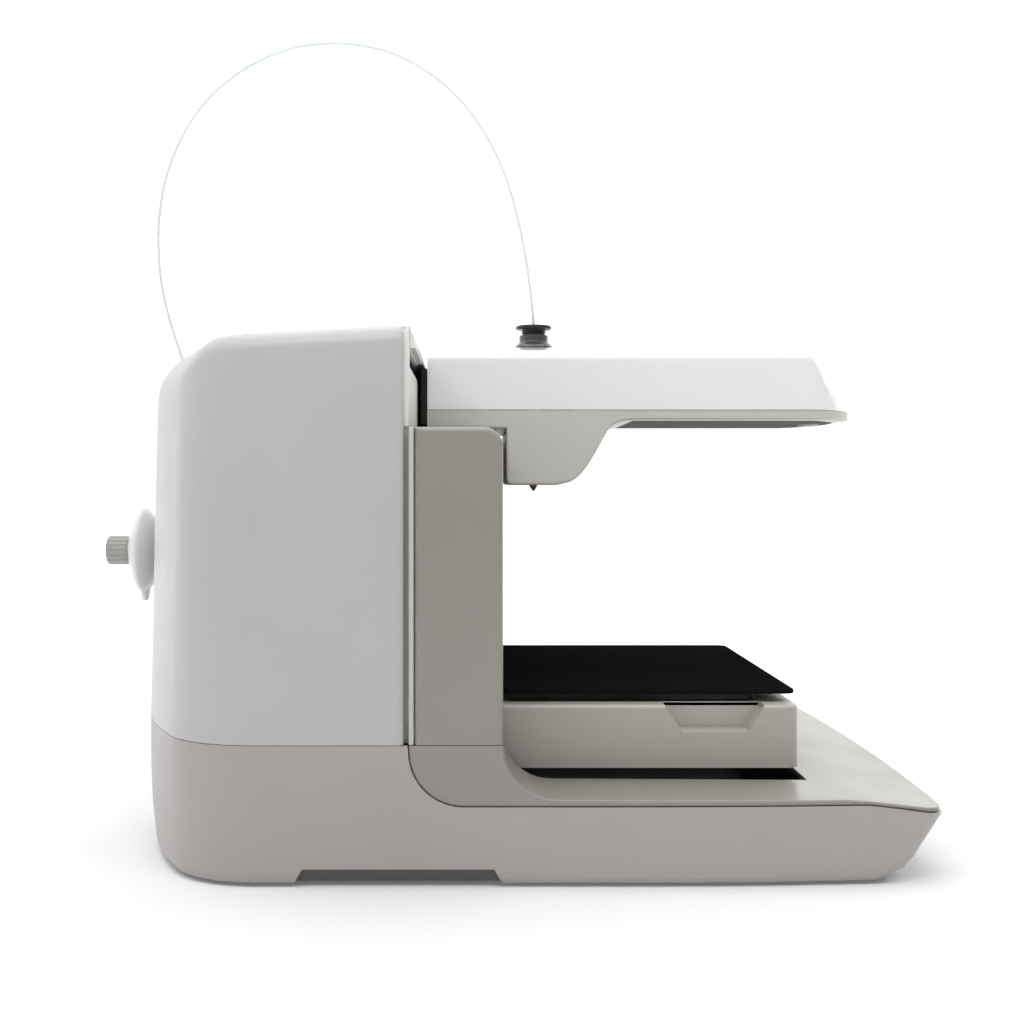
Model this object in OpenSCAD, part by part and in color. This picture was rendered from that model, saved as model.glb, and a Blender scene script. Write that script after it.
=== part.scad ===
// Desktop filament printer: a cantilever arm carries the print head across the front of a tall
// column, a lifting platform carries a travelling bed, and a spool turns inside the column's rear.
// Frame: +X is the front, +Y the far side, +Z up. Millimetres, origin under the middle on the floor.

/* [Body] */
// Width of the base and column
body_w = 330; // [328:1:334]
// Thickness of the plastic shells
wall = 2.5; // [2:0.1:3]
// Rear face of the column at its middle
rear_x = -189; // [-190:0.5:-188]
// Front tip of the base
front_x = 222; // [221:0.5:224]
// Front edge of the column
column_front = -38.4; // [-39:0.1:-38]
// Height of the column at its front edge
column_top = 264.8; // [264:0.1:266]
// Height of the joint between base and column
seam_z = 66.4; // [64:0.1:68]
// Height of the base's upper edge along the sides
rim_z = 37.4; // [37:0.1:37.8]
// Front face of the two cheeks beside the bed opening
cheek_front = 6.2; // [6:0.1:7]
// Top of the cheeks and of the shelf between them
cheek_top = 215.9; // [214:0.1:216]
// Half width of the bed opening
opening_half = 116; // [115:0.5:117]
// Top of the bed opening under the shelf
opening_top = 192; // [190:0.5:194]

/* [Arm] */
// Width of the arm
arm_w = 120; // [118:1:122]
// Rear end of the arm
arm_rear = -33; // [-33.4:0.1:-32.8]
// Tip of the arm
arm_tip = 209; // [208:0.5:211]
// Height of the joint between the arm's two shells
arm_split = 229.4; // [229:0.1:231]
// Height of the arm's upper edge along the sides
arm_edge = 262.4; // [261.5:0.1:263]
// Rise of the arm's crowned top above that edge
arm_crown = 5.6; // [4:0.1:6]
// Front-back place of the nozzle and the filament inlet
nozzle_x = 27.3; // [27:0.1:27.6]
// Height of the nozzle's tip
nozzle_tip = 185.3; // [185:0.1:186]

/* [Bed] */
// Rear edge of the build plate at rest
plate_rear = 7.5; // [7:0.5:9]
// Length of the build plate
plate_l = 150; // [148:1:152]
// Width of the build plate
plate_w = 205; // [200:1:208]
// Top of the build plate at rest
plate_top = 83.5; // [83:0.1:84]
// Half width of the lifting platform's cover
cover_half = 112; // [111:0.5:113]
// Bottom of the lifting platform
cover_low = 45.5; // [45:0.1:46]
// Top of the lifting platform's cover
cover_high = 77.3; // [77:0.1:77.6]

/* [Drives] */
// Radius of the guide rods
rod_r = 4; // [3.9:0.05:4]
// Distance of the lift's rods and screws from the middle
lift_y = 136; // [135:0.5:136]
// Front-back place of the lift screws
screw_x = -62; // [-64:0.5:-61]
// Front-back place of the lift rods
lift_rod_x = -96; // [-98:0.5:-94]
// Radius of the belts' centre line on the pulleys
belt_r = 6.37; // [6.2:0.01:6.4]
// Distance of the arm belt's pulleys from the middle
pulley_y = 133; // [130:1:134]

/* [Spool] */
// Height of the spool's axis
spool_z = 150.7; // [149:0.1:152]
// Radius of the spool's flanges
spool_r = 60; // [50:1:61]
// Radius of the filament wound on the spool
winding_r = 52; // [30:1:52.5]
// Radius of the filament
filament_r = 0.875; // [0.8:0.005:0.9]

/* [Hidden] */
$fn = 48;

half_w = body_w / 2;
// how far a cutting shape reaches past the face it opens
past = 5;
// clearance between a turning part and its bush
run = 0.05;
// gap between two shells that meet
shell_gap = 0.2;

// rear face: a wide arc between two rounded corners
rear_r = 300;
corner_r = 50;
corner_c = [-111, half_w - corner_r];
corner_a = atan2(corner_c[1], corner_c[0] - rear_x - rear_r);
// front face: a flat arc between two tight corners
nose_r = 2250;
nose_corner_r = 15;
nose_corner_c = [front_x - 19.7, half_w - 20];

// top-rear corner of the column, seen from the side
crest_r = 22;
crest_c = [rear_x + 25.8, 236];
crest_high = 259.7;

// the curve where the cheeks flow into the tray
sweep_r = 25;
rim_r = 26;
tray_z = 40.2;
tray_end = 170;
lip_x = front_x - 17;

// arc of points round a centre, both ends included
function arc(c, r, a0, a1, n = 6) =
    [for (i = [0:n]) let (a = a0 + (a1 - a0) * i / n) [c[0] + r * cos(a), c[1] + r * sin(a)]];
// an outline symmetrical about the X axis, from its half with y above 0
function both_sides(p) = concat(p, [for (i = [len(p) - 2:-1:1]) [p[i][0], -p[i][1]]]);

// plan outline of the body, inset by d
function body_plan(d) = both_sides(concat(
    arc([rear_x + rear_r, 0], rear_r - d, 180, corner_a, 6),
    [for (p = arc(corner_c, corner_r - d, corner_a, 90, 8)) if (p[0] > corner_c[0] - corner_r) p],
    [[70, half_w - d], [125, half_w - 1.1 - d], [179, half_w - 3.6 - d]],
    arc(nose_corner_c, nose_corner_r - d, 82, 5, 5),
    arc([front_x - nose_r, 0], nose_r - d, 1.8, 0, 2)));

// side outline of the column, inset by d and open at its front and bottom where d is above 0
function column_side(d) = let (open = d > 0 ? past : 0) concat(
    [[column_front + open, seam_z - open], [column_front + open, column_top - d]],
    [[-131, crest_high - d]],
    arc(crest_c, crest_r - d, 94, 178, 7),
    [[rear_x + d, seam_z - open]]);

// side outline of the base
base_side = concat(
    [[rear_x, seam_z], [column_front, seam_z]],
    arc([column_front + rim_r, rim_z + rim_r], rim_r, 180, 270, 6),
    [[178, rim_z], [lip_x, rim_z - 3.4], [front_x, rim_z - 5.6]],
    [[front_x - 17.5, 5.5], [front_x - 21.5, 2.8], [front_x - 25, 2], [rear_x + 17, 2]],
    [[rear_x + 10.5, 4.5], [rear_x + 8, 12], [rear_x + 5, 25], [rear_x + 1, 50]]);
// the base's hollow, seen from the side, open above and below
base_hollow = [[rear_x + wall, seam_z + past], [front_x - wall, seam_z + past],
    [front_x - wall - 0.5, rim_z - 5.6], [front_x - 17.5 - wall, 5.5], [front_x - 25 - wall, 1],
    [rear_x + 17 + wall, 1], [rear_x + 10.5 + wall, 5.5], [rear_x + 8 + wall, 12],
    [rear_x + 5 + wall, 25], [rear_x + 1 + wall, 50]];

// side outline of the liner, an L of cheeks and tray
liner_side = concat(
    [[column_front + shell_gap, cheek_top]],
    arc([cheek_front - 6, cheek_top - 6], 6, 90, 0, 5),
    arc([cheek_front + sweep_r, tray_z + 0.8 + sweep_r], sweep_r, 180, 270, 7),
    [[tray_end, tray_z], [lip_x, tray_z - 3], [front_x - 0.7, tray_z - 5.7]],
    [[front_x - 0.7, rim_z - 5.4], [lip_x, rim_z - 3.2], [178, rim_z + shell_gap]],
    arc([column_front + rim_r, rim_z + rim_r], rim_r - shell_gap, 270, 180, 6));
// the hollow behind the cheeks and under the tray
liner_hollow = concat(
    [[column_front - past, cheek_top - wall], [cheek_front - wall, cheek_top - wall]],
    arc([cheek_front + sweep_r, tray_z + 0.8 + sweep_r], sweep_r + wall, 180, 270, 7),
    [[tray_end - 2, tray_z - wall], [tray_end - 2, 20], [column_front - past, 20]]);

// extrudes an outline drawn in X and Z across the width w
module across(w = 400) translate([0, w / 2, 0]) rotate([90, 0, 0]) linear_extrude(w) children();
// extrudes an outline drawn in Y and Z along X, from x0 to x1
module along(x0, x1) translate([x0, 0, 0]) rotate([90, 0, 90]) linear_extrude(x1 - x0) children();
// box between two corners
module block(a, b) translate(a) cube([b[0] - a[0], b[1] - a[1], b[2] - a[2]]);
// cylinders along each axis, starting at p
module rod_x(p, r, l) translate(p) rotate([0, 90, 0]) cylinder(r = r, h = l);
module rod_y(p, r, l) translate(p) rotate([-90, 0, 0]) cylinder(r = r, h = l);
module rod_z(p, r, l) translate(p) cylinder(r = r, h = l);
// its children on both sides of the middle
module each_side() for (s = [0, 1]) mirror([0, s, 0]) children();

// ---------- body shells ----------

module body_prism(d) translate([0, 0, -past]) linear_extrude(column_top + 2 * past) polygon(body_plan(d));

module base_shell() color([0.66, 0.65, 0.64]) difference() {
    intersection() {
        body_prism(0);
        across() polygon(base_side);
    }
    intersection() {
        body_prism(wall);
        across() polygon(base_hollow);
    }
    across() polygon([[-92, 1], [-86, 8.5], [0, 8.5], [6, 1]]);
    block([rear_x - past, 20, 16], [rear_x + 16, 80, 60]);
}

module column_shell() color([0.76, 0.75, 0.74]) difference() {
    intersection() {
        body_prism(0);
        across() polygon(column_side(0));
    }
    intersection() {
        body_prism(wall);
        across() polygon(column_side(wall));
    }
    rod_x([rear_x - past, 0, spool_z], bush_r + run, 20);
    at_guide() rod_z([0, 0, -12], guide_r + run, 20);
    at_guide() rod_z([0, 0, guide_seat], guide_flange_r + run, 12);
}

// light panel above the shelf, with the slot that the arm's tongue passes through
slot_half = 148;
slot_low = 245.6;
slot_high = 253.6;
module front_panel() color([0.84, 0.84, 0.82]) difference() {
    union() {
        block([column_front - 2.5, -160, cheek_top + shell_gap], [column_front, 160, column_top - 2.9]);
        block([column_front, -152, slot_high + 0.6], [column_front + 3, 152, column_top - 2.9]);
    }
    block([column_front - past, -slot_half, slot_low], [column_front + past, slot_half, slot_high]);
}

module liner() color([0.58, 0.57, 0.53]) difference() {
    intersection() {
        body_prism(0.8);
        across() polygon(liner_side);
    }
    each_side() intersection() {
        body_prism(0.8 + wall);
        across() polygon(liner_hollow);
        block([-100, opening_half + wall, 0], [250, half_w, 250]);
    }
    block([column_front - past, -opening_half, 20], [160, opening_half, opening_top]);
    block([column_front - past, -opening_half, opening_top + wall],
        [cheek_front - wall, opening_half, cheek_top - wall]);
}

// black tub under the tray that the platform sinks into
module recess_tub() color([0.07, 0.07, 0.07]) difference() {
    block([-40, -118.2, 4.6], [162.2, 118.2, rim_z]);
    block([-41, -116.2, 6], [160.2, 116.2, rim_z + 1]);
}

feet = [[-140, 105], [165, 125]];
screws = [[-150, 60], [-20, 125], [180, 60]];
module bottom_cover() color([0.3, 0.29, 0.28]) difference() {
    union() {
        intersection() {
            body_prism(wall + 0.3);
            block([rear_x + 19.8, -half_w, 2], [front_x - 27.8, half_w, 4.5]);
        }
        each_side() block([-95, 158, 4.5], [9, 161, 10]);
    }
    each_side() for (p = screws) rod_z([p[0], p[1], 1], 3.05, 2.4);
    each_side() for (p = screws) rod_z([p[0], p[1], 1], 1.55, 5);
    each_side() for (i = [0:8]) block([40 + i * 8, 128, 1], [44 + i * 8, 150, 6]);
}

module rubber_feet() color([0.12, 0.12, 0.12]) each_side() for (p = feet) rod_z([p[0], p[1], 0], 9, 2);

module case_screws() color([0.5, 0.5, 0.52]) each_side() for (p = screws) {
    difference() {
        rod_z([p[0], p[1], 2.1], 3, 1.3);
        rod_z([p[0], p[1], 1.9], 1.2, 0.9);
    }
    rod_z([p[0], p[1], 3.4], 1.5, 1.1);
}

// ---------- inner frame and lift ----------

plate_t = 2;
bulkhead_x = -134;
side_y = 154;
shelf_low = 34;
shelf_high = 203;
shelf_t = 3;
x_rod_z = 238.5;
x_rods_x = [-92, -58];

module chassis() color([0.55, 0.56, 0.58]) difference() {
    union() {
        block([bulkhead_x, -side_y - plate_t, 5], [bulkhead_x + plate_t, side_y + plate_t, 236]);
        each_side() {
            block([bulkhead_x, side_y, 5], [-44, side_y + plate_t, 250]);
            block([bulkhead_x, 118.3, shelf_low], [-44, side_y, shelf_low + shelf_t]);
            block([bulkhead_x, 118.3, shelf_high], [-44, side_y, shelf_high + shelf_t]);
        }
    }
    rod_x([bulkhead_x - 1, 0, spool_z], bush_r + run, 4);
    each_side() {
        rod_z([lift_rod_x, lift_y, shelf_low - 1], rod_r + run, 200);
        rod_z([screw_x, lift_y, shelf_low - 1], 5.2, 5);
        rod_z([screw_x, lift_y, shelf_high - 1], rod_r + run, 5);
    }
    for (x = x_rods_x) rod_y([x, -160, x_rod_z], rod_r + run, 320);
}

z_rod_l = shelf_high + shelf_t - shelf_low;
module z_rods() color([0.8, 0.8, 0.82]) each_side() rod_z([lift_rod_x, lift_y, shelf_low], rod_r, z_rod_l);

module motor(size, l) {
    translate([-size / 2, -size / 2, 0]) linear_extrude(l) polygon([[3, 0], [size - 3, 0], [size, 3],
        [size, size - 3], [size - 3, size], [3, size], [0, size - 3], [0, 3]]);
}

module z_motors() color([0.2, 0.2, 0.21]) each_side() difference() {
    translate([screw_x, lift_y, 5]) union() {
        motor(35.2, 28);
        rod_z([0, 0, 28], 11, 0.9);
    }
    rod_z([screw_x, lift_y, 20], rod_r + run, 30);
}

module screw(side) rod_z([screw_x, side * lift_y, 21], rod_r, 184.8);
module z_screw_left() color([0.7, 0.7, 0.72]) screw(-1);
module z_screw_right() color([0.7, 0.7, 0.72]) screw(1);

// ---------- arm drive ----------

belt_x = -75;
belt_z = 230;
belt_h = 6;
belt_t = 1.4;

module stadium(r, l) {
    for (s = [-1, 1]) translate([0, s * l]) circle(r);
    translate([-r, -l]) square([2 * r, 2 * l]);
}
module belt(l) linear_extrude(belt_h) difference() {
    stadium(belt_r + belt_t / 2, l);
    stadium(belt_r - belt_t / 2, l);
}
module pulley() difference() {
    union() {
        cylinder(r = belt_r - belt_t / 2 - 0.1, h = belt_h + 3);
        cylinder(r = 7.5, h = 1.2);
        translate([0, 0, belt_h + 1.8]) cylinder(r = 7.5, h = 1.2);
    }
    translate([0, 0, -1]) cylinder(r = 2.5 + run, h = belt_h + 6);
    // grub screw, so that the turning shows
    translate([0, 0, 1.5 + belt_h / 2]) rotate([90, 0, 0]) cylinder(r = 1, h = 8);
}

module x_rods() color([0.8, 0.8, 0.82]) {
    for (x = x_rods_x) rod_y([x, -side_y - plate_t, x_rod_z], rod_r, 312);
}

module x_motor() color([0.2, 0.2, 0.21]) {
    translate([belt_x, pulley_y, shelf_high + shelf_t]) motor(35.2, 20);
    rod_z([belt_x, pulley_y, shelf_high + shelf_t + 20], 2.5, 12);
    // the idler's post stands on the other shelf
    rod_z([belt_x, -pulley_y, shelf_high + shelf_t], 5, 21);
    rod_z([belt_x, -pulley_y, shelf_high + shelf_t + 21], 2.5, 11);
}
module x_belt() color([0.08, 0.08, 0.08]) translate([belt_x, 0, belt_z]) belt(pulley_y);
module x_pulley() color([0.7, 0.7, 0.72]) translate([belt_x, pulley_y, belt_z - 1.5]) pulley();
module x_idler() color([0.7, 0.7, 0.72]) translate([belt_x, -pulley_y, belt_z - 1.5]) pulley();

// ---------- spool and filament ----------

axle_r = 6;
bush_r = 9;
guide_r = 5;
guide_flange_r = 7;
guide_seat = -0.8;
guide_tilt = -20;
// the guide stands in the rounded top-rear corner, leaning back
module at_guide() translate([-175.2, 0, 253.7]) rotate([0, guide_tilt, 0]) children();

module spool_bushes() color([0.25, 0.25, 0.25]) {
    difference() {
        rod_x([bulkhead_x - 4, 0, spool_z], bush_r, 5.8);
        rod_x([bulkhead_x - 6, 0, spool_z], axle_r + run, 10);
    }
    difference() {
        union() {
            rod_x([rear_x - 0.5, 0, spool_z], bush_r, 8);
            rod_x([rear_x + 5, 0, spool_z], 12, 2.5);
        }
        rod_x([rear_x - 3, 0, spool_z], axle_r + run, 14);
    }
}

module filament_guide() color([0.2, 0.2, 0.2]) at_guide() difference() {
    union() {
        rod_z([0, 0, -5.5], guide_r, 8);
        rod_z([0, 0, guide_seat], guide_flange_r, 3);
    }
    rod_z([0, 0, -8], 1.35, 14);
}

spool_x0 = -176.5;
spool_x1 = -139.5;
spool_flange = 2.5;
module spool() color([0.15, 0.15, 0.16]) difference() {
    union() {
        rod_x([spool_x0, 0, spool_z], spool_r, spool_flange);
        rod_x([spool_x1 - spool_flange, 0, spool_z], spool_r, spool_flange);
        rod_x([spool_x0, 0, spool_z], 22, spool_x1 - spool_x0);
    }
    rod_x([spool_x0 - 1, 0, spool_z], axle_r + 0.02, 40);
    for (a = [0:60:300])
        translate([0, 38 * cos(a), spool_z + 38 * sin(a)]) rod_x([spool_x0 - 1, 0, 0], 9, 40);
}
module winding() color([0.8, 0.92, 0.85]) difference() {
    rod_x([spool_x0 + spool_flange + 0.1, 0, spool_z], winding_r,
        spool_x1 - spool_x0 - 2 * spool_flange - 0.2);
    rod_x([spool_x0, 0, spool_z], 22.1, 40);
}

hub_x = -208.5;
module hub_flange() color([0.73, 0.73, 0.72]) union() {
    rod_x([hub_x + 5, 0, spool_z], axle_r, 70);
    translate([0, 0, spool_z]) rotate([0, 90, 0]) rotate_extrude() polygon([[0, hub_x], [9, hub_x],
        [17, hub_x + 2.6], [22.5, hub_x + 5.4], [25, hub_x + 8], [25, hub_x + 9.2], [20, hub_x + 13],
        [12, hub_x + 17.5], [0, hub_x + 17.5]]);
    translate([hub_x + 7.6, 0, spool_z]) rotate([0, 90, 0]) linear_extrude(2)
        polygon([[22, -6], [29.7, -1], [29.7, 1], [22, 6]]);
}
module hub_knob() color([0.6, 0.6, 0.59]) difference() {
    rod_x([-front_x, 0, spool_z], 8.5, front_x + hub_x);
    for (a = [0:30:330])
        translate([0, 9.4 * cos(a), spool_z + 9.4 * sin(a)]) rod_x([-front_x - 1, 0, 0], 1.4, 12);
}

// tube swept along a smooth curve through the points p, m rings to each span
function curve(p, m) = let (q = concat([2 * p[0] - p[1]], p, [2 * p[len(p) - 1] - p[len(p) - 2]])) concat(
    [for (i = [1:len(p) - 1], j = [0:m - 1]) let (t = j / m) (2 * q[i] + (q[i + 1] - q[i - 1]) * t
        + (2 * q[i - 1] - 5 * q[i] + 4 * q[i + 1] - q[i + 2]) * t * t
        + (3 * q[i] - q[i - 1] - 3 * q[i + 1] + q[i + 2]) * t * t * t) / 2],
    [p[len(p) - 1]]);
function unit(v) = v / norm(v);
module tube(c, r, side, n = 8) {
    last = len(c) - 1;
    rings = [for (i = [0:last]) let (t = unit(c[min(i + 1, last)] - c[max(i - 1, 0)]),
        u = unit(cross(t, side)), v = cross(u, t)) for (k = [0:n - 1])
        c[i] + r * (cos(k * 360 / n) * u + sin(k * 360 / n) * v)];
    faces = concat([[for (k = [n - 1:-1:0]) k]], [[for (k = [0:n - 1]) last * n + k]],
        [for (i = [0:last - 1], k = [0:n - 1]) [i * n + k, i * n + (k + 1) % n,
            (i + 1) * n + (k + 1) % n, (i + 1) * n + k]]);
    polyhedron(rings, faces);
}

// the free filament, from the guide up and over into the inlet on the arm
free_route = [[-175.5, 0, 254.5], [-177.3, 0, 259.3], [-179.3, 0, 265], [-182.5, 0, 274.5],
    [-186, 0, 286], [-189, 0, 298], [-191.5, 0, 313], [-192.5, 0, 329], [-192, 0, 346],
    [-188.5, 0, 367], [-181, 0, 388], [-170, 0, 407], [-155, 0, 423], [-136, 0, 436],
    [-115, 0, 444.5], [-93, 0, 447.5], [-71, 0, 446], [-50, 0, 439.5], [-30, 0, 427.5],
    [-13, 0, 411.5], [1, 0, 391], [11.5, 0, 368], [18.5, 0, 343], [23, 0, 320], [25.5, 0, 302],
    [26.7, 0, 290], [27.2, 0, 284], [27.3, 0, 278]];
module filament() color([0.8, 0.92, 0.85]) tube(curve(free_route, 3), filament_r, [0, 1, 0]);

// the short run inside, from the winding up to the guide
feed_route = [[-158, -53.3, 152], [-158, -53.2, 165], [-158.5, -51, 181], [-160, -44, 200],
    [-163, -31, 220], [-167.5, -15, 236], [-171.2, -4, 243.5], [-173.3, 0, 248.3]];
module filament_feed() color([0.8, 0.92, 0.85]) tube(curve(feed_route, 3), filament_r, [1, 0, 0]);

// ---------- electronics ----------

module control_board() color([0.1, 0.35, 0.2]) {
    block([-20, -157, 12], [120, -123, 13.6]);
    block([-10, -153, 13.6], [10, -143, 24]);
    block([20, -150, 13.6], [34, -136, 16]);
    for (i = [0:3]) block([44 + i * 18, -150, 13.6], [56 + i * 18, -132, 21]);
}
module power_supply() color([0.7, 0.7, 0.7]) difference() {
    block([-172, -84, 6], [-138, 10, 60]);
    for (i = [0:7]) block([-165 + i * 3.4, -74, 58], [-163.4 + i * 3.4, 0, 61]);
}
module rear_sockets() color([0.12, 0.12, 0.12]) difference() {
    union() {
        block([-174, 17, 13], [-171.5, 83, 61]);
        block([-178, 50, 18], [-155, 78, 42]);
        block([-178, 23, 18], [-158, 45, 42]);
        block([-177, 56, 45.5], [-160, 70, 57.5]);
    }
    block([-179, 53, 21], [-160, 75, 39]);
    block([-179, 26, 20.5], [-162, 42, 39.5]);
    block([-179, 57.5, 47], [-163, 68.5, 56]);
}

rocker_p = [-172.5, 34, 30];
module power_rocker() color([0.5, 0.12, 0.1]) translate(rocker_p) rotate([0, -8, 0]) union() {
    rod_y([0, -7.8, 0], 2.5, 15.6);
    translate([0, -7.4, 0]) rotate([90, 0, 0]) mirror([0, 0, 1]) linear_extrude(14.8)
        polygon([[-8, -8], [-6.6, 0], [-8, 8], [-2, 8], [3, 2.5], [3, -2.5], [-2, -8]]);
}

// ---------- platform and bed ----------

cover_front = plate_rear + plate_l;
cover_rear = -36;
bed_rod_y = 60;
bed_rod_z = 62;
notch = [[84, cover_high + past], [89, cover_high], [98, 63.7], [132, 63.7], [139.7, cover_high],
    [142.5, cover_high + past]];

module rounded_box(a, b, r) translate([0, 0, a[2]]) linear_extrude(b[2] - a[2]) polygon(both_sides(
    concat([[a[0], 0], [a[0], b[1]]], arc([b[0] - r, b[1] - r], r, 90, 0, 6), [[b[0], 0]])));

module platform_cover() color([0.58, 0.57, 0.53]) difference() {
    rounded_box([cover_rear, 0, cover_low], [cover_front, cover_half, cover_high], 7);
    difference() {
        rounded_box([cover_rear - past, 0, cover_low - 1],
            [cover_front - wall, cover_half - wall, cover_high - wall], 4.5);
        // the finger pockets keep a wall behind and below them
        each_side() block([86, 97.5, cover_low], [142, cover_half, cover_high]);
    }
    each_side() intersection() {
        across() polygon(notch);
        block([80, 100, 60], [150, cover_half + past, cover_high + past]);
    }
    each_side() block([88.5, 98, cover_low - 1], [139.5, cover_half - wall, 61]);
    each_side() block([cover_rear - past, 49, 70], [114, 71, cover_high + past]);
    block([cover_rear - past, 2, 70], [93, 11, cover_high + past]);
}

module platform_frame() color([0.16, 0.16, 0.17]) difference() {
    union() {
        block([-118, -97, cover_low + 0.1], [154.6, 97, 48]);
        block([-118, -109.2, cover_low + 0.1], [86, 109.2, 48]);
        block([-118, -109.2, 48], [-112, 109.2, 77]);
        block([147, -90, 48], [152, 90, 74.5]);
        each_side() {
            block([-118, 106, cover_low + 0.1], [-48, 112, 95]);
            block([-112, 112, 79], [-48, 153, 95]);
        }
        rod_z([bed_idler_x, 0, 47], 2.5, 27.3);
    }
    each_side() {
        rod_z([lift_rod_x, lift_y, 70], 7.55, 30);
        rod_z([screw_x, lift_y, 70], 5.6, 30);
        rod_x([-120, bed_rod_y, bed_rod_z], rod_r + run, 280);
    }
}

module linear_bearing(l) difference() {
    cylinder(r = 7.5, h = l);
    translate([0, 0, -1]) cylinder(r = rod_r + run, h = l + 2);
}
module z_bearings() color([0.75, 0.75, 0.77]) each_side() {
    translate([lift_rod_x, lift_y, 75.5]) linear_bearing(24);
}
module z_nuts() color([0.75, 0.6, 0.3]) each_side() translate([screw_x, lift_y, 0]) difference() {
    union() {
        rod_z([0, 0, 80], 5.5, 19);
        rod_z([0, 0, 95.1], 11, 3.5);
    }
    rod_z([0, 0, 78], rod_r + run, 24);
}
module bed_rods() color([0.8, 0.8, 0.82]) each_side() rod_x([-118, bed_rod_y, bed_rod_z], rod_r, 270);

bed_pulley_x = -82;
bed_idler_x = 139;
bed_belt_mid = (bed_pulley_x + bed_idler_x) / 2;
bed_belt_z = 67;
module bed_motor() color([0.2, 0.2, 0.21]) {
    translate([bed_pulley_x, 0, 48.1]) motor(35.2, 17);
    rod_z([bed_pulley_x, 0, 65.1], 2.5, 9);
}
module bed_belt() color([0.08, 0.08, 0.08]) translate([bed_belt_mid, 0, bed_belt_z])
    rotate([0, 0, 90]) belt(bed_idler_x - bed_belt_mid);
module bed_pulley() color([0.7, 0.7, 0.72]) translate([bed_pulley_x, 0, bed_belt_z - 1.5]) pulley();
module bed_idler() color([0.7, 0.7, 0.72]) translate([bed_idler_x, 0, bed_belt_z - 1.5]) pulley();

carrier_top = plate_top - 2.1;
carrier_low = cover_high + 0.5;
bed_bearing_x = [28, 88];
module bed_carrier() color([0.13, 0.13, 0.14]) difference() {
    union() {
        rounded_box([10, 0, carrier_low], [138, 98, carrier_top], 5);
        for (x = bed_bearing_x) each_side()
            block([x, bed_rod_y - 10, 53], [x + 24, bed_rod_y + 10, carrier_low]);
        block([75, 3.4, bed_belt_z - 1], [90, 9.6, carrier_low]);
    }
    each_side() rod_x([10, bed_rod_y, bed_rod_z], 7.55, 140);
    block([70, belt_r - 1, 60], [95, belt_r + 1, bed_belt_z + belt_h + 0.4]);
}
module bed_bearings() color([0.75, 0.75, 0.77]) for (x = bed_bearing_x) each_side()
    translate([x, bed_rod_y, bed_rod_z]) rotate([0, 90, 0]) linear_bearing(24);

module build_plate() color([0.09, 0.1, 0.09])
    translate([0, 0, plate_top - 2]) linear_extrude(2) polygon(both_sides(concat(
        [[plate_rear, 0]],
        arc([plate_rear + 6, plate_w / 2 - 6], 6, 180, 90, 5),
        arc([plate_rear + plate_l - 6, plate_w / 2 - 6], 6, 90, 0, 5),
        [[plate_rear + plate_l, 0]])));

// ---------- arm ----------

arm_half = arm_w / 2;
tip_r = 80;
arm_corner_r = 22;
arm_corner_c = [arm_tip - 36.2, arm_half - arm_corner_r];
arm_floor = 224.1;
function arm_plan(d) = let (open = d > 0 ? past : 0) both_sides(concat(
    [[arm_rear - open, 0], [arm_rear - open, arm_half - d]],
    arc(arm_corner_c, arm_corner_r - d, 90, 45, 5),
    arc([arm_tip - tip_r, 0], tip_r - d, 40.8, 0, 6)));
// crowned section of the arm in Y and Z
function arm_section(d) = both_sides_y(concat(
    [[arm_half - d, nozzle_tip]],
    arc([arm_half - 6.2, arm_edge - 6.2], 6.2 - d, 0, 80, 4),
    [for (y = [45:-15:0]) [y, arm_edge - d + arm_crown * (1 - pow(y / (arm_half - 6), 2))]]));
function both_sides_y(p) = concat(p, [for (i = [len(p) - 2:-1:0]) [-p[i][0], p[i][1]]]);
// nose of the arm, seen from the side
arm_nose = [for (p = [[0, arm_split], [1.2, 234.5], [2.9, 240.2], [5.8, 245.3], [10.3, 253.3],
    [16.1, 261.3], [22, 266], [27.5, 268.5]]) [arm_tip - p[0], p[1]]];
function arm_upper(d) = concat(
    [[arm_rear - past, arm_split - (d > 0 ? past : 0)], [arm_tip - d, arm_split - (d > 0 ? past : 0)]],
    [for (p = arm_nose) [p[0] - d, p[1]]],
    [[arm_rear - past, 268.5]]);
// head and underside of the arm, seen from the side; d thickens the floor
function arm_under(d) = [[arm_rear - past, arm_split + (d > 0 ? past : 0)],
    [arm_rear - past, 219.5 + d], [10 + d, 219.5 + d], [10 + d, 188.7 + d], [39, 188.7 + d],
    [46, 191 + d], [52.7 - d, 197 + d / 2], [59 - d, 207], [66 - d, 219.5 + d / 2], [74, arm_floor + d],
    [arm_tip - 5 - d, arm_floor + d], [arm_tip - 1 - d, arm_floor + 1.4 + d],
    [arm_tip - d, arm_split + (d > 0 ? past : 0)]];

module arm_prism(d) intersection() {
    translate([0, 0, 180]) linear_extrude(100) polygon(arm_plan(d));
    along(arm_rear - 2 * past, arm_tip + past) polygon(arm_section(d));
}

inlet_r = 8;
module arm_top_shell() color([0.89, 0.88, 0.87]) difference() {
    intersection() {
        arm_prism(0);
        across() polygon(arm_upper(0));
    }
    intersection() {
        arm_prism(2);
        across() polygon(arm_upper(2));
    }
    rod_z([nozzle_x, 0, 250], inlet_r, 30);
}

// window in the arm's floor, following the tip; gap keeps its cover clear
module floor_window(low, high, gap) intersection() {
    block([80 + gap, -50 + gap, low], [arm_tip, 50 - gap, high]);
    translate([0, 0, low]) linear_extrude(high - low) polygon(arm_plan(9 + gap));
}

module arm_lower_shell() color([0.7, 0.69, 0.66]) difference() {
    intersection() {
        arm_prism(0);
        across() polygon([for (p = arm_under(0)) [p[0], min(p[1], arm_split - shell_gap)]]);
    }
    intersection() {
        arm_prism(2);
        across() polygon(arm_under(2));
    }
    floor_window(220, 235, 0);
    block([13, -48, 180], [38, 48, 195]);
}

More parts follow.
